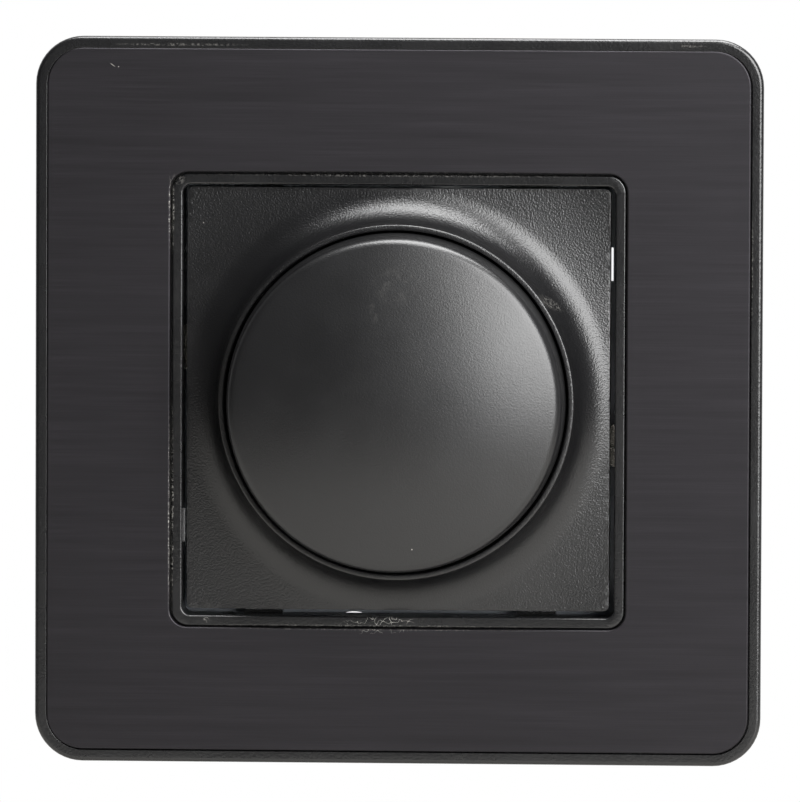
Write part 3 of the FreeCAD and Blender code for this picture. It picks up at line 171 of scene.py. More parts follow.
def finish(name, bm, material, body, slot, *replaced):
    """Make a finished mesh a piece that moves with its body and stands for pieces of the frame."""
    mesh = bpy.data.meshes.new(name)
    bm.to_mesh(mesh)
    bm.free()
    mesh.materials.append(material)
    mesh.shade_smooth()
    mesh.set_sharp_from_angle(angle=math.radians(SMOOTH_DEGREES))
    piece = bpy.data.objects.new(name, mesh)
    bpy.context.scene.collection.objects.link(piece)
    even = piece.modifiers.new("even shading", "WEIGHTED_NORMAL")
    even.keep_sharp = True
    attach(piece, body)
    if replaced:
        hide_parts(*replaced)
    return piece


def soften(bm, width, steps, least_degrees, wanted=lambda edge: True):
    """Round the edges that turn by more than this angle and pass the test."""
    least = math.radians(least_degrees)
    edges = [edge for edge in bm.edges
             if len(edge.link_faces) == 2 and edge.calc_face_angle() > least and wanted(edge)]
    bmesh.ops.bevel(bm, geom=edges, affect="EDGES", offset=width * MM, offset_type="OFFSET", segments=steps,
                    profile=0.5, material=-1, clamp_overlap=True)


def dressed(name, node, material, edge):
    """The merged form of a CAD piece with smooth curves and edges broken by this many millimetres."""
    bm = bmesh.new()
    bm.from_mesh(frame["nodes"][node].data)
    bmesh.ops.remove_doubles(bm, verts=bm.verts, dist=MERGE * MM)
    bmesh.ops.dissolve_limit(bm, verts=bm.verts, edges=bm.edges, angle_limit=math.radians(FLAT_DEGREES))
    if edge > 0:
        soften(bm, edge, 2, CORNER_DEGREES)
    return finish(name, bm, material, body_of_node[node], slot_of_node[node], node)


# Zinc plate on rolled steel: cool grey and cloudy rather than shiny, because the chromate dulls it.
zinc_plated_steel = plated("zinc_plated_steel", ZINC, ZINC_CLOUD, 0.5, 2.2, 0.7)
dressed("yoke_stamping", "yoke", zinc_plated_steel, STAMPED_EDGE)

# Insert: a flat lid against the yoke and an eight-sided cup behind it, moulded in dark glass-filled
# nylon and held together by four screws from the front. The wires go in through three square openings.
NYLON = "#2e2f32"
NYLON_PALE = "#3a3b3e"
MOULDED_EDGE = 0.12
FLOW = 6.0


def moulded(name, code, pale_code, roughness, grain, depth):
    """Moulded plastic. Grain is the width and depth the height in millimetres of the mould's texture."""
    material, tree, shader, place = start_material(name)
    texture = add(tree, "TexNoise", {}, {"Vector": place, "Scale": 1 / grain, "Detail": 2.0})
    flow = add(tree, "TexNoise", {}, {"Vector": place, "Scale": 1 / FLOW, "Detail": 2.0})
    tinted(tree, shader, flow.outputs["Fac"], colour(code), colour(pale_code))
    worn(tree, shader, flow.outputs["Fac"], roughness, 0.06)
    raised(tree, shader, texture.outputs["Fac"], depth)
    return material


# Glass-filled nylon: dark grey, dull, with a faint cloudiness where the glass comes to the surface.
filled_nylon = moulded("glass_filled_nylon", NYLON, NYLON_PALE, 0.52, 0.3, 0.006)
# Nickel on steel: warm and bright, smoother than the zinc.
nickel_plated_steel = plated("nickel_plated_steel", "#a39f98", "#b5b1a8", 0.26, 1.4)
dressed("insert_lid", "housing_front", filled_nylon, MOULDED_EDGE)
dressed("insert_cup", "housing_rear", filled_nylon, MOULDED_EDGE)
dressed("insert_screw_set", "housing_screws", nickel_plated_steel, SMALL_EDGE)
dressed("terminal_clamp_set", "terminal_cages", zinc_plated_steel, SMALL_EDGE)
dressed("terminal_screw_set", "terminal_screws", nickel_plated_steel, SMALL_EDGE)

# Works inside the insert: potentiometer, push switch and the circuit board with its parts. They are
# closed in on every side, and keep the frame's own forms under the finish of the real material.
# Brass, turned or stamped: yellow and fairly smooth.
brass = plated("stamped_brass", "#a8884c", "#b89a5e", 0.3, 1.8)
# Spring steel, blued by heat: dark and smooth.
spring_steel = plated("spring_steel", "#63666c", "#74777d", 0.28, 1.2)
# Rolled aluminium, left bare: pale and softly streaked.
bare_aluminium = plated("rolled_aluminium", "#b9babd", "#c6c7ca", 0.4, 3.0)
# Enamelled copper wire: orange brown under a clear coat.
copper_wire = plated("enamelled_copper", "#8a4a24", "#9c5a30", 0.3, 0.8)
# Acetal of the plunger: natural white, waxy.
acetal = moulded("natural_acetal", "#cfccc2", "#dbd8cf", 0.42, 0.4, 0.003)
# Carbon track printed on its laminate: black and quite dull.
carbon = moulded("printed_carbon", "#1b1b1c", "#242425", 0.6, 0.2, 0.004)
# Phenolic paper laminate of the board: brown with paler fibres.
laminate = moulded("phenolic_laminate", "#8a6236", "#9a7242", 0.5, 0.5, 0.006)
# Epoxy round the small components: near black and matte.
epoxy = moulded("moulding_epoxy", "#242426", "#303032", 0.48, 0.25, 0.005)
# Ferrite ring: dark grey and slightly porous.
ferrite = moulded("sintered_ferrite", "#3b3c3d", "#484949", 0.6, 0.3, 0.012)
# Polyester case of the capacitors: ochre with a slight gloss.
polyester = moulded("polyester_case", "#b08a2c", "#bd9838", 0.3, 0.6, 0.003)
# Glass of the fuse: clear, with a cool tint.
glass, tree, shader, place = start_material("soda_glass")
streaks = add(tree, "TexNoise", {}, {"Vector": place, "Scale": 0.6, "Detail": 2.0}).outputs["Fac"]
tinted(tree, shader, streaks, colour("#e4eceb"), colour("#f2f6f5"))
shader.inputs["Roughness"].default_value = 0.04
shader.inputs["IOR"].default_value = 1.52
shader.inputs["Transmission Weight"].default_value = 1.0

material_of_slot = {
    "spring_steel": spring_steel,
    "plated_steel": nickel_plated_steel,
    "brass": brass,
    "zinc_plated_steel": zinc_plated_steel,
    "insert_plastic": filled_nylon,
    "light_plastic": acetal,
    "carbon_track": carbon,
    "board_laminate": laminate,
    "component_plastic": epoxy,
    "bare_aluminium": bare_aluminium,
    "ferrite": ferrite,
    "copper_wire": copper_wire,
    "capacitor_plastic": polyester,
    "clear_glass": glass,
}
for node, piece in frame["nodes"].items():
    inner = material_of_slot.get(slot_of_node[node])
    if inner:
        piece.data.materials.clear()
        piece.data.materials.append(inner)

# Return spring of the push switch: it stands in the switch housing and gets a mesh of its own. The real
# spring is squeezed as the knob goes in; here it keeps its resting shape.
return_spring = dressed("return_spring", "switch_spring", spring_steel, 0)
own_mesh(return_spring)

# Claws: two bent steel plates with teeth that spread in the box when their screws are turned. Each
# turns on a pin in the yoke's ears, and its screw draws a square nut and the claw's foot forward.
for side in ("right", "left"):
    dressed(f"claw_plate_{side}", f"claw_{side}", zinc_plated_steel, STAMPED_EDGE)
    dressed(f"claw_bolt_{side}", f"claw_screw_{side}", nickel_plated_steel, SMALL_EDGE)
    dressed(f"claw_square_nut_{side}", f"claw_nut_{side}", zinc_plated_steel, STAMPED_EDGE)

# Cover plate: 50 mm square of black ABS, drawn up in a wide flare to the collar round the knob. The
# mould is spark eroded, which leaves an even grain that glitters where the light strikes it.
ABS = "#0b0b0c"
ABS_PALE = "#111112"
DUST = "#b9b6b0"
YOKE_FRONT = 1.0
cover_low, cover_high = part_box("cover_plate")
COVER_WIDTH = (cover_high.x - cover_low.x) / MM
COVER_CORNER = 0.7
COVER_FRONT = 7.7
COVER_EDGE = 0.15
COVER_SKIN = 1.6
COLLAR_TOP = -cover_low.y / MM
COLLAR_RADIUS = 21.0
COLLAR_BORE = 20.3
COLLAR_EDGE = 0.22
FLARE_TOP = 13.3
FLARE_RADIUS = 5.12
FLARE_TILT = 7
FLARE_END = 34.0
WELL_FLOOR = 5.0
WELL_WALL = 21.7
BOSS_RADIUS = 8.5
BUSH_HOLE = 5.2
SKIRT_WALL = 1.4
SKIRT_BACK = 1.2
SKIRT_DRAFT = 0.1
CLAW_SCREW_UP = -5.7
NOTCH_HALF = 3.1
NOTCH_RISE = 2.0
TURNED_STEPS = 192
FLARE_STEPS = 16
TAIL_STEPS = 8
EDGE_DEGREES = 20
FINE_MERGE = 0.0001
# The radius of the turned form as a share of the square's width, so that it takes in the corners.
PAST_CORNER = 0.72


def turned_form(profile, steps):
    """A form of revolution about the main axis through (radius, height) points in millimetres."""
    bm = bmesh.new()
    line = [bm.verts.new((radius * MM, -height * MM, 0)) for radius, height in profile]
    edges = [bm.edges.new(pair) for pair in zip(line, line[1:])]
    bmesh.ops.spin(bm, geom=line + edges, cent=(0, 0, 0), axis=(0, 1, 0), dvec=(0, 0, 0),
                   angle=2 * math.pi, steps=steps, use_merge=True)
    bmesh.ops.remove_doubles(bm, verts=bm.verts, dist=FINE_MERGE * MM)
    bmesh.ops.recalc_face_normals(bm, faces=bm.faces)
    return bm


def reach(vertex):
    """How far a vertex lies from the main axis along X or along Z, in millimetres."""
    return max(abs(vertex.co.x), abs(vertex.co.z)) / MM


def height_of(vertex):
    """How far in front of the wall a vertex lies, in millimetres."""
    return -vertex.co.y / MM


def ends_pass(test):
    """A test of an edge that both its ends have to pass."""
    return lambda edge: all(test(end) for end in edge.verts)


def at_claw_screw(vertex):
    """Whether a vertex of the skirt lies in the notch that leaves room for a claw screw's head."""
    beside = abs(abs(vertex.co.x) / MM - COVER_WIDTH / 2) < 2
    screw_up = math.copysign(CLAW_SCREW_UP, vertex.co.x * CLAW_SCREW_UP)
    return beside and abs(vertex.co.z / MM - screw_up) < NOTCH_HALF


def drawn_on(bm, edges, width, new_width, rise):
    """Extrude an outline of this width to another width and this much further forward."""
    made = bmesh.ops.extrude_edge_only(bm, edges=edges)["geom"]
    verts = [item for item in made if isinstance(item, bmesh.types.BMVert)]
    bmesh.ops.scale(bm, vec=(new_width / width, 1, new_width / width), verts=verts)
    bmesh.ops.translate(bm, vec=(0, -rise * MM, 0), verts=verts)
    return [item for item in made if isinstance(item, bmesh.types.BMEdge)
            and all(end in verts for end in item.verts)]


tilt = math.radians(FLARE_TILT)
flare_middle = COLLAR_RADIUS + FLARE_RADIUS
tail_start = flare_middle - FLARE_RADIUS * math.sin(tilt)
tail_slope = math.tan(tilt) / (FLARE_END - tail_start)
cover_profile = [(WELL_WALL, COVER_FRONT - COVER_SKIN), (WELL_WALL, WELL_FLOOR - COVER_SKIN),
                 (BOSS_RADIUS, WELL_FLOOR - COVER_SKIN), (BOSS_RADIUS, YOKE_FRONT), (BUSH_HOLE, YOKE_FRONT),
                 (BUSH_HOLE, WELL_FLOOR), (COLLAR_BORE, WELL_FLOOR), (COLLAR_BORE, COLLAR_TOP),
                 (COLLAR_RADIUS, COLLAR_TOP)]
for step in range(FLARE_STEPS + 1):
    turn = (math.pi / 2 - tilt) * step / FLARE_STEPS
    cover_profile.append((flare_middle - FLARE_RADIUS * math.cos(turn),
                          FLARE_TOP - FLARE_RADIUS * math.sin(turn)))
for step in range(1, TAIL_STEPS + 1):
    radius = tail_start + (FLARE_END - tail_start) * step / TAIL_STEPS
    cover_profile.append((radius, COVER_FRONT + tail_slope * (FLARE_END - radius) ** 2 / 2))
cover_profile.append((COVER_WIDTH * PAST_CORNER, COVER_FRONT))
cover_mesh = turned_form(cover_profile, TURNED_STEPS)
for outward in ((1, 0, 0), (-1, 0, 0), (0, 0, 1), (0, 0, -1)):
    everything = cover_mesh.verts[:] + cover_mesh.edges[:] + cover_mesh.faces[:]
    bmesh.ops.bisect_plane(cover_mesh, geom=everything, dist=FINE_MERGE * MM, clear_outer=True,
                           plane_co=Vector(outward) * COVER_WIDTH / 2 * MM, plane_no=outward)
open_edges = [edge for edge in cover_mesh.edges if edge.is_boundary]
square_outline = [edge for edge in open_edges if reach(edge.verts[0]) > WELL_WALL + 1]
hollow_outline = [edge for edge in open_edges if reach(edge.verts[0]) < WELL_WALL + 1]
skirt_width = COVER_WIDTH - 2 * SKIRT_DRAFT
inner_width = COVER_WIDTH - 2 * SKIRT_WALL
skirt_low = drawn_on(cover_mesh, square_outline, COVER_WIDTH, skirt_width, SKIRT_BACK - COVER_FRONT)
skirt_back = {vertex for edge in skirt_low for vertex in edge.verts}
for vertex in skirt_back:
    vertex.co.y = -SKIRT_BACK * MM
skirt_inner = drawn_on(cover_mesh, skirt_low, skirt_width, inner_width, 0)
notched = {vertex for edge in skirt_low + skirt_inner for vertex in edge.verts if at_claw_screw(vertex)}
underside_rise = COVER_FRONT - COVER_SKIN - SKIRT_BACK
underside = drawn_on(cover_mesh, skirt_inner, inner_width, inner_width, underside_rise)
bmesh.ops.translate(cover_mesh, vec=(0, -NOTCH_RISE * MM, 0), verts=list(notched))
bmesh.ops.bridge_loops(cover_mesh, edges=underside + hollow_outline)
bmesh.ops.recalc_face_normals(cover_mesh, faces=cover_mesh.faces)
soften(cover_mesh, COVER_CORNER, 5, EDGE_DEGREES, ends_pass(
    lambda end: min(abs(end.co.x), abs(end.co.z)) / MM > COVER_WIDTH / 2 - SKIRT_DRAFT * 2))
soften(cover_mesh, COVER_EDGE, 3, EDGE_DEGREES, ends_pass(
    lambda end: reach(end) > COVER_WIDTH / 2 - COVER_CORNER and height_of(end) > COVER_FRONT - 0.1))
soften(cover_mesh, COLLAR_EDGE, 4, EDGE_DEGREES, ends_pass(lambda end: height_of(end) > COLLAR_TOP - 0.01))


def specks(tree, place, spacing, size, share):
    """Scattered specks up to this size, in this share of the cells of this spacing, in millimetres."""
    cells = add(tree, "TexVoronoi", {}, {"Vector": place, "Scale": 1 / spacing})
    chance = add(tree, "SeparateColor", {}, {"Color": cells.outputs["Color"]}).outputs["Red"]
    radius = add(tree, "MapRange", {}, {"Value": chance, "From Min": 1 - share, "From Max": 1.0,
                                        "To Min": 0.0, "To Max": size / 2 / spacing}).outputs[0]
    inside = add(tree, "Math", {"operation": "LESS_THAN"}, {0: cells.outputs["Distance"], 1: radius})
    return inside.outputs[0]


def areas(tree, place, spots):
    """1 in the middle of each spot and 0 outside. A spot is (x, z, half width, half height, turn)."""
    total = 0.0
    for across, up, half_across, half_up, degrees in spots:
        turn = math.radians(degrees)
        shift = Matrix.Rotation(turn, 3, "Y") @ Vector((-across, 0, -up))
        moved = add(tree, "Mapping", {}, {"Vector": place, "Location": shift, "Rotation": (0, turn, 0)})
        scaled = add(tree, "VectorMath", {"operation": "MULTIPLY"},
                     {0: moved.outputs[0], 1: (1 / half_across, 0, 1 / half_up)})
        far = add(tree, "VectorMath", {"operation": "LENGTH"}, {0: scaled.outputs[0]}).outputs["Value"]
        spot = add(tree, "MapRange", {}, {"Value": far, "From Min": 0.5, "From Max": 1.0,
                                          "To Min": 1.0, "To Max": 0.0}).outputs[0]
        total = add(tree, "Math", {"operation": "MAXIMUM"}, {0: total, 1: spot}).outputs[0]
    return total


def crumbs(tree, place, spots, size):
    """Crumbs of dried residue of this size in millimetres, strewn over some spots."""
    ragged = add(tree, "TexNoise", {}, {"Vector": place, "Scale": 1 / size, "Detail": 4.0, "Roughness": 0.7})
    grains = add(tree, "MapRange", {}, {"Value": ragged.outputs["Fac"], "From Min": 0.5, "From Max": 0.6})
    strewn = areas(tree, place, spots)
    return add(tree, "Math", {"operation": "MULTIPLY"}, {0: grains.outputs[0], 1: strewn}).outputs[0]


def lint(tree, place, spots):
    """Fine curled fibres that cling to some spots: the lines along which a soft noise is halfway up."""
    curls = add(tree, "TexNoise", {}, {"Vector": place, "Scale": 1.1, "Detail": 1.0}).outputs["Fac"]
    middle = add(tree, "Math", {"operation": "SUBTRACT"}, {0: curls, 1: 0.5}).outputs[0]
    away = add(tree, "Math", {"operation": "ABSOLUTE"}, {0: middle}).outputs[0]
    fibre = add(tree, "Math", {"operation": "LESS_THAN"}, {0: away, 1: 0.008}).outputs[0]
    clinging = areas(tree, place, spots)
    return add(tree, "Math", {"operation": "MULTIPLY"}, {0: fibre, 1: clinging}).outputs[0]


def soiled(tree, shader, clean, layers):
    """Lay dust and residue over a colour. A layer is a pattern and how strong it is."""
    dirt = 0.0
    for pattern, strength in layers:
        layer = add(tree, "Math", {"operation": "MULTIPLY"}, {0: pattern, 1: strength}).outputs[0]
        dirt = add(tree, "Math", {"operation": "MAXIMUM"}, {0: dirt, 1: layer}).outputs[0]
    tinted(tree, shader, dirt, clean, colour(DUST))


def black_plastic(name, roughness, grain, depth, marks):
    """Black moulded plastic with the mould's grain and dust. Marks makes the layers of its own dirt."""
    material, tree, shader, place = start_material(name)
    texture = add(tree, "TexNoise", {}, {"Vector": place, "Scale": 1 / grain, "Detail": 1.0})
    cloud = add(tree, "TexNoise", {}, {"Vector": place, "Scale": 1 / FLOW, "Detail": 3.0})
    clean = tinted(tree, shader, cloud.outputs["Fac"], colour(ABS), colour(ABS_PALE))
    dust = specks(tree, place, spacing=2.3, size=0.2, share=0.12)
    soiled(tree, shader, clean, [(dust, 0.5)] + marks(tree, place))
    worn(tree, shader, cloud.outputs["Fac"], roughness, 0.04)
    shader.inputs["IOR"].default_value = 1.54
    raised(tree, shader, texture.outputs["Fac"], depth)
    return material


def cover_marks(tree, place):
    """A faint patch of residue on the flare, at the upper right."""
    return [(crumbs(tree, place, [(18.0, 11.7, 1.9, 0.5, -35)], 0.28), 0.16)]


# ABS from a spark-eroded mould: deep black, with a grain that glitters. The grain is drawn a little
# coarser than it is, so that it shows.
spark_eroded_abs = black_plastic("spark_eroded_abs", 0.3, 0.2, 0.04, cover_marks)
finish("cover_moulding", cover_mesh, spark_eroded_abs, ROOT_BODY, "cover_plastic", "cover_plate")

# Knob: hollow ABS moulding with a low dome, satin smooth from handling, pushed on the flatted shaft.
# A leaf spring in its hub grips the shaft, so it turns and pushes without play.
knob_low, knob_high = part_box("knob")
KNOB_TOP = -knob_low.y / MM
KNOB_BACK = -knob_high.y / MM
KNOB_RADIUS = knob_high.x / MM
KNOB_TAPER = 0.3
KNOB_EDGE = 0.5
KNOB_CROWN = 2.8
KNOB_SKIN = 1.8
TAPER_START = 13.8
HUB_RADIUS = 5.2
HUB_BACK = 9.5
BORE_RADIUS = 3.05
BORE_TOP = 17.8
KNOB_ROUNDING = 0.4
PAST_HUB = 1.1
DOME_STEPS = 20
rim = KNOB_RADIUS - KNOB_TAPER
crown_radius = (rim ** 2 + KNOB_CROWN ** 2) / (2 * KNOB_CROWN)
shoulder = KNOB_TOP - KNOB_CROWN - KNOB_EDGE


def dome(radius, skin):
    """Height of the dome at this distance from the axis, on its outside or this far inside it."""
    return KNOB_TOP - crown_radius + math.sqrt((crown_radius - skin) ** 2 - radius ** 2)


def knob_marks(tree, place):
    """A faint greasy mark above the middle."""
    return [(crumbs(tree, place, [(0.6, 14.3, 3.6, 2.6, 0), (-2.3, 10.9, 0.5, 2.8, 14)], 0.9), 0.018)]


face = rim - KNOB_EDGE
outer_dome = [face * step / DOME_STEPS for step in range(DOME_STEPS + 1)]
inner_rim = rim - KNOB_SKIN
inner_dome = [HUB_RADIUS + (inner_rim - HUB_RADIUS) * step / DOME_STEPS for step in range(DOME_STEPS, -1, -1)]
knob_mesh = turned_form(
    [(radius, dome(radius, 0)) for radius in outer_dome]
    + [(rim, shoulder), (KNOB_RADIUS, TAPER_START), (KNOB_RADIUS, KNOB_BACK)]
    + [(KNOB_RADIUS - KNOB_SKIN, KNOB_BACK)]
    + [(radius, dome(radius, KNOB_SKIN)) for radius in inner_dome]
    + [(HUB_RADIUS, HUB_BACK), (BORE_RADIUS, HUB_BACK), (BORE_RADIUS, BORE_TOP), (0, BORE_TOP)],
    TURNED_STEPS)
soften(knob_mesh, KNOB_ROUNDING, 6, EDGE_DEGREES,
       lambda edge: edge.verts[0].co.xz.length > HUB_RADIUS * PAST_HUB * MM)
# ABS polished by fingers: black, smooth and satin.
satin_abs = black_plastic("satin_abs", 0.33, 0.2, 0.013, knob_marks)
finish("knob_moulding", knob_mesh, satin_abs, "knob_and_shaft", "knob_plastic", "knob")

# Frame carrier: black ABS moulding that clips on the yoke and holds the metal plate in a seat, with
# ribs and hooks behind. Its grooves have caught pale residue, most of it at the left and along the top.
carrier_low, carrier_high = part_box("frame_carrier")
CARRIER_MIDDLE = (carrier_low + carrier_high) / 2
CARRIER_WIDTH = (carrier_high.x - carrier_low.x) / MM
CARRIER_FRONT = 9.5
CARRIER_CORNER = 5.65
CARRIER_EDGE = 0.5
BAND_WIDTH = 85.4
BAND_BACK = 4.0
BASE_WIDTH = 84.0
RIM_INNER = 83.24
RIM_CORNER = 4.37
RIM_EDGE = 0.06
SEAT_FRONT = 8.1
LIP_WIDTH = 53.6
LIP_CORNER = 2.0
LIP_FRONT = 9.2
LIP_EDGE = 0.22
LIP_BACK = 3.8
OPENING_WIDTH = 51.1
OPENING_CORNER = 1.1
FRAME_FLOOR = 6.3
HOLLOW_WIDTH = 80.4
RIB_PLACE = 19.5
RIB_HALF = 0.6
RIB_BACK = 1.3
HOOK_PLACE = 16.2
HOOK_HALF = 2.0
HOOK_SEAT = 0.3
HOOK_DEPTH = 1.2
HOOK_CATCH = 0.7
BASE_CORNER = 4.7
BAND_CORNER = 5.4
HOLLOW_CORNER = 2.9
OVERLAP = 0.2
RIB_OVERLAP = 0.6
CORNER_STEPS = 12
FILLET_STEPS = 6
# The outlines of a band are bridged this far apart, and then brought to their heights: two outlines
# in one plane can be bridged a quarter turn out of step.
RING_SPACING = 20


def square_ring(bm, width, corner, height):
    """The edges of a rounded square about the main axis at this height, in millimetres."""
    stand = Matrix.Translation((0, -height * MM, 0)) @ Matrix.Rotation(math.radians(90), 4, "X")
    square = bmesh.ops.create_grid(bm, x_segments=1, y_segments=1, size=width / 2 * MM, matrix=stand)
    bmesh.ops.bevel(bm, geom=square["verts"], affect="VERTICES", offset=corner * MM, offset_type="OFFSET",
                    segments=CORNER_STEPS, profile=0.5, material=-1, clamp_overlap=True)
    filled = next(iter(bm.faces))
    edges = list(filled.edges)
    bmesh.ops.delete(bm, geom=[filled], context="FACES_ONLY")
    return edges


def ringed_form(rings):
    """A closed band through rounded squares, each given as width, corner and height."""
    bm = bmesh.new()
    outlines = [square_ring(bm, width, corner, index * RING_SPACING)
                for index, (width, corner, height) in enumerate(rings)]
    for first, last in zip(outlines, outlines[1:] + outlines[:1]):
        bmesh.ops.bridge_loops(bm, edges=first + last)
    for edges, (width, corner, height) in zip(outlines, rings):
        for vertex in {end for edge in edges for end in edge.verts}:
            vertex.co.y = -height * MM
    bmesh.ops.recalc_face_normals(bm, faces=bm.faces)
    return bm


def rounded(width, corner, height, radius, steps, inwards):
    """Rings that round an edge which ends a wall of this width, with its top at this height."""
    rings = []
    for step in range(steps + 1):
        turn = math.pi / 2 * step / steps
        away = radius * (1 - math.cos(turn)) * inwards
        rings.append((width - 2 * away, corner - away, height - radius * (1 - math.sin(turn))))
    return rings


def bar(bm, across, height, up):
    """A bar between two places across, two heights and two places up, in millimetres."""
    size = Vector((across[1] - across[0], height[1] - height[0], up[1] - up[0]))
    middle = Vector((sum(across), -sum(height), sum(up))) / 2
    placed = Matrix.Translation(middle * MM) @ Matrix.Diagonal(size * MM).to_4x4()
    bmesh.ops.create_cube(bm, size=1, matrix=placed)


outer_edge = rounded(CARRIER_WIDTH, CARRIER_CORNER, CARRIER_FRONT, CARRIER_EDGE, FILLET_STEPS, 1)
rim_inner_edge = rounded(RIM_INNER, RIM_CORNER, CARRIER_FRONT, RIM_EDGE, 2, -1)
lip_outer_edge = rounded(LIP_WIDTH, LIP_CORNER, LIP_FRONT, LIP_EDGE, 4, 1)
lip_inner_edge = rounded(OPENING_WIDTH, OPENING_CORNER, LIP_FRONT, LIP_EDGE, 4, -1)
carrier_mesh = ringed_form(
    [(BASE_WIDTH, BASE_CORNER, 0.0), (BASE_WIDTH, BASE_CORNER, BAND_BACK)]
    + [(BAND_WIDTH, BAND_CORNER, BAND_BACK)]
    + outer_edge + rim_inner_edge[::-1]
    + [(RIM_INNER, RIM_CORNER, SEAT_FRONT), (LIP_WIDTH, LIP_CORNER, SEAT_FRONT)]
    + lip_outer_edge + lip_inner_edge[::-1]
    + [(OPENING_WIDTH, OPENING_CORNER, LIP_BACK), (LIP_WIDTH, LIP_CORNER, LIP_BACK)]
    + [(LIP_WIDTH, LIP_CORNER, FRAME_FLOOR), (HOLLOW_WIDTH, HOLLOW_CORNER, FRAME_FLOOR)]
    + [(HOLLOW_WIDTH, HOLLOW_CORNER, 0.0)])
lip_half = LIP_WIDTH / 2
opening_half = OPENING_WIDTH / 2
rib_run = (lip_half - RIB_OVERLAP, HOLLOW_WIDTH / 2 + RIB_OVERLAP)
rib_rise = (RIB_BACK, FRAME_FLOOR + OVERLAP)
for place in (-RIB_PLACE, RIB_PLACE):
    sides = (place - RIB_HALF, place + RIB_HALF)
    for way in (1, -1):
        run = sorted(way * end for end in rib_run)
        bar(carrier_mesh, sides, rib_rise, run)
        bar(carrier_mesh, run, rib_rise, sides)
for place in (-HOOK_PLACE, HOOK_PLACE):
    sides = (place - HOOK_HALF, place + HOOK_HALF)
    wide = (sides[0] - HOOK_SEAT, sides[1] + HOOK_SEAT)
    for way in (1, -1):
        seat, post, catch = (sorted((way * first, way * last)) for first, last in (
            (opening_half - HOOK_SEAT, lip_half), (opening_half, lip_half),
            (lip_half - HOOK_CATCH / 2, lip_half + HOOK_CATCH)))
        bar(carrier_mesh, wide, (YOKE_FRONT, LIP_BACK + OVERLAP), seat)
        bar(carrier_mesh, sides, (-HOOK_DEPTH, YOKE_FRONT + OVERLAP), post)
        bar(carrier_mesh, sides, (-HOOK_DEPTH, 0.0), catch)
carrier_offset = (CARRIER_MIDDLE.x, 0, CARRIER_MIDDLE.z)
bmesh.ops.translate(carrier_mesh, vec=carrier_offset, verts=carrier_mesh.verts)


def carrier_marks(tree, place):
    """Residue along the grooves on both sides of the plate, lint at the bottom, and faint wiped smears."""
    crumbed = crumbs(tree, place, [(-26.75, 22.0, 0.3, 5.5, 0), (-26.75, -13.0, 0.3, 14.0, 0)], 0.3)
    strands = lint(tree, place, [(-1.4, -26.2, 5.6, 0.7, 3), (-22.7, -26.2, 0.6, 0.5, 0)])
    thin = crumbs(tree, place, [
        (0.0, 26.55, 24.0, 0.22, 0), (-26.0, 25.9, 0.9, 0.8, 45), (-2.0, -26.85, 22.0, 0.2, 0),
        (-25.8, 41.85, 8.5, 0.2, 0), (34.4, 42.0, 1.9, 0.16, 0), (41.75, 16.0, 0.16, 7.0, 0),
    ], 0.3)
    smears = crumbs(tree, place, [(-26.2, 0.0, 0.7, 26.0, 0), (0.0, 26.2, 26.0, 0.6, 0)], 0.8)
    return [(crumbed, 0.5), (strands, 0.5), (thin, 0.13), (smears, 0.008)]


# ABS from an etched mould: black, with a soft sheen and a shallow grain.
etched_abs = black_plastic("etched_abs", 0.27, 0.3, 0.02, carrier_marks)
finish("carrier_moulding", carrier_mesh, etched_abs, ROOT_BODY, "frame_plastic", "frame_carrier")

# Trim plate: a square of brushed aluminium sheet with a square window, blanked, brushed along its
# width and anodised black. A chamfer along its front edges catches the light.
plate_low, plate_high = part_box("trim_plate")
PLATE_FRONT = -plate_low.y / MM
PLATE_BACK = -plate_high.y / MM
PLATE_WIDTH = (plate_high.x - plate_low.x) / MM
PLATE_CORNER = 4.3
WINDOW_WIDTH = 53.9
WINDOW_CORNER = 2.15
PLATE_CHAMFER = 0.22
BRUSH_WIDTH = 0.1
BRUSH_LENGTH = 12.0
BRUSH_DEPTH = 0.002
STREAK_WIDTH = 1.1
STREAK_LENGTH = 30
plate_mesh = ringed_form([
    (PLATE_WIDTH, PLATE_CORNER, PLATE_BACK), (PLATE_WIDTH, PLATE_CORNER, PLATE_FRONT),
    (WINDOW_WIDTH, WINDOW_CORNER, PLATE_FRONT), (WINDOW_WIDTH, WINDOW_CORNER, PLATE_BACK),
])
soften(plate_mesh, PLATE_CHAMFER, 4, EDGE_DEGREES, ends_pass(lambda end: height_of(end) > PLATE_FRONT - 0.01))
plate_offset = CARRIER_MIDDLE + Vector((-0.05, 0, 0.05)) * MM
bmesh.ops.translate(plate_mesh, vec=(plate_offset.x, 0, plate_offset.z), verts=plate_mesh.verts)

# Black anodised aluminium, brushed: dark grey with fine lines along the width and a metallic sheen.
anodised, tree, shader, place = start_material("black_anodised_aluminium")
lines = add(tree, "Mapping", {}, {"Vector": place, "Scale": (1 / BRUSH_LENGTH, 0.0, 1 / BRUSH_WIDTH)})
brushing = add(tree, "TexNoise", {}, {"Vector": lines.outputs[0], "Scale": 1.0, "Detail": 3.0}).outputs["Fac"]
bands = add(tree, "Mapping", {}, {"Vector": place, "Scale": (1 / STREAK_LENGTH, 0.0, 1 / STREAK_WIDTH)})
banding = add(tree, "TexNoise", {}, {"Vector": bands.outputs[0], "Scale": 1.0, "Detail": 2.0}).outputs["Fac"]
streaky = add(tree, "Math", {"operation": "MULTIPLY"}, {0: brushing, 1: banding}).outputs[0]
dyed = tinted(tree, shader, streaky, colour("#262527"), colour("#3a383c"))
residue = crumbs(tree, place, [(-26.95, 22.0, 0.22, 5.0, 0), (-26.95, -13.0, 0.22, 14.0, 0)], 0.3)
thin = crumbs(tree, place, [(-26.2, 26.0, 0.8, 0.7, 45), (0.0, 26.85, 23.0, 0.2, 0),
                            (-2.0, -27.15, 20.0, 0.25, 0)], 0.3)
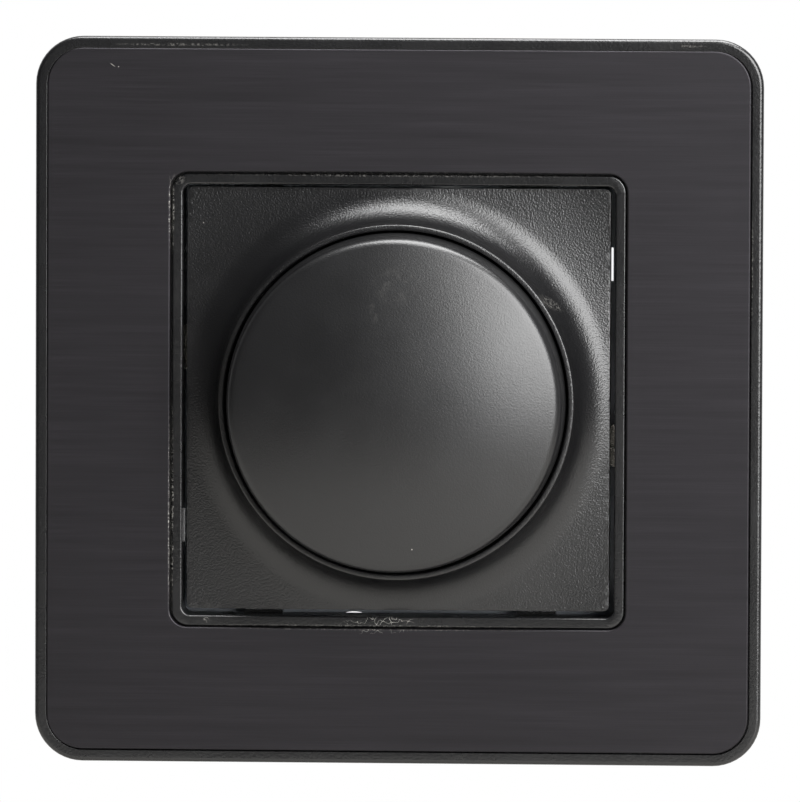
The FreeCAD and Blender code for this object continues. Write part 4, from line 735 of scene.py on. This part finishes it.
strands = lint(tree, place, [(-1.6, -27.3, 4.6, 0.4, 3)])
scratch = areas(tree, place, [(-33.8, 39.4, 0.42, 0.07, -35), (-33.1, 39.2, 0.1, 0.09, 0)])
dust = specks(tree, place, spacing=2.6, size=0.2, share=0.1)
soiled(tree, shader, dyed, [(residue, 0.5), (thin, 0.125), (strands, 0.5), (scratch, 0.5), (dust, 0.5)])
worn(tree, shader, brushing, 0.41, 0.05)
shader.inputs["Metallic"].default_value = 0.9
shader.inputs["Anisotropic"].default_value = 0.4
raised(tree, shader, brushing, BRUSH_DEPTH)
finish("trim_sheet", plate_mesh, anodised, ROOT_BODY, "black_anodised_aluminium", "trim_plate")

# Room: white behind the plate and a pale floor below it. A large softbox stands at the right and a
# second hangs above, and the side behind the camera is dark, as the reflections on the knob show.
FLOOR_DROP = 92
FLOOR_RADIUS = 0.38
FLOOR_STEPS = 96
PAINT_PATCH = 40
LIGHT_BEHIND = 0.75
LIGHT_IN_FRONT = 0.06
WATTS_PER_RADIANCE = 2 * math.pi


def softbox(name, right_degrees, up_degrees, distance, width, height, radiance):
    """A lamp with a flat diffuser that faces the plate. White cloth in its light would have radiance 1."""
    lamp = bpy.data.lights.new(name, "AREA")
    lamp.shape = "RECTANGLE"
    lamp.size = width
    lamp.size_y = height
    lamp.energy = radiance * width * height * WATTS_PER_RADIANCE
    stand = bpy.data.objects.new(name, lamp)
    bpy.context.scene.collection.objects.link(stand)
    away = towards(right_degrees, up_degrees)
    stand.location = away * distance
    stand.rotation_euler = away.to_track_quat("Z", "Y").to_euler()


softbox("softbox_right", 34, 19, 0.6, 0.4, 0.5, 6.3)
softbox("softbox_top", 50, 80, 0.9, 0.7, 0.6, 7.8)

floor_mesh = bmesh.new()
bmesh.ops.create_circle(floor_mesh, cap_ends=True, segments=FLOOR_STEPS, radius=FLOOR_RADIUS,
                        matrix=Matrix.Translation((0, 0, -FLOOR_DROP * MM)))
floor_data = bpy.data.meshes.new("floor")
floor_mesh.to_mesh(floor_data)
floor_mesh.free()
floor = bpy.data.objects.new("floor", floor_data)
bpy.context.scene.collection.objects.link(floor)
pale_floor, tree, shader, place = start_material("pale_floor")
paint = add(tree, "TexNoise", {}, {"Vector": place, "Scale": 1 / PAINT_PATCH, "Detail": 2.0}).outputs["Fac"]
tinted(tree, shader, paint, colour("#a9a7a3"), colour("#b1afab"))
shader.inputs["Roughness"].default_value = 0.8
floor_data.materials.append(pale_floor)

world = bpy.data.worlds.new("room")
bpy.context.scene.world = world
world.use_nodes = True
tree = world.node_tree
direction = add(tree, "TexCoord", {}, {}).outputs["Generated"]
parts = add(tree, "SeparateXYZ", {}, {"Vector": direction})
behind = add(tree, "MapRange", {}, {"Value": parts.outputs["Y"], "From Min": 0.05,
                                    "From Max": 0.35}).outputs[0]
ambient = add(tree, "Math", {"operation": "MULTIPLY_ADD"},
              {0: behind, 1: LIGHT_BEHIND, 2: LIGHT_IN_FRONT}).outputs[0]
rays = add(tree, "LightPath", {}, {}).outputs
straight = add(tree, "Math", {"operation": "MAXIMUM"},
               {0: rays["Is Camera Ray"], 1: rays["Is Transmission Ray"]}).outputs[0]
mirrored = add(tree, "Math", {"operation": "MULTIPLY"}, {0: rays["Is Glossy Ray"], 1: behind}).outputs[0]
seen = add(tree, "Math", {"operation": "MAXIMUM"}, {0: straight, 1: mirrored}).outputs[0]
strength = add(tree, "Mix", {"data_type": "FLOAT"}, {0: seen, 2: ambient, 3: 1.0}).outputs[0]
background = tree.nodes["Background"]
background.inputs["Color"].default_value = (1, 1, 1, 1)
tree.links.new(strength, background.inputs["Strength"])
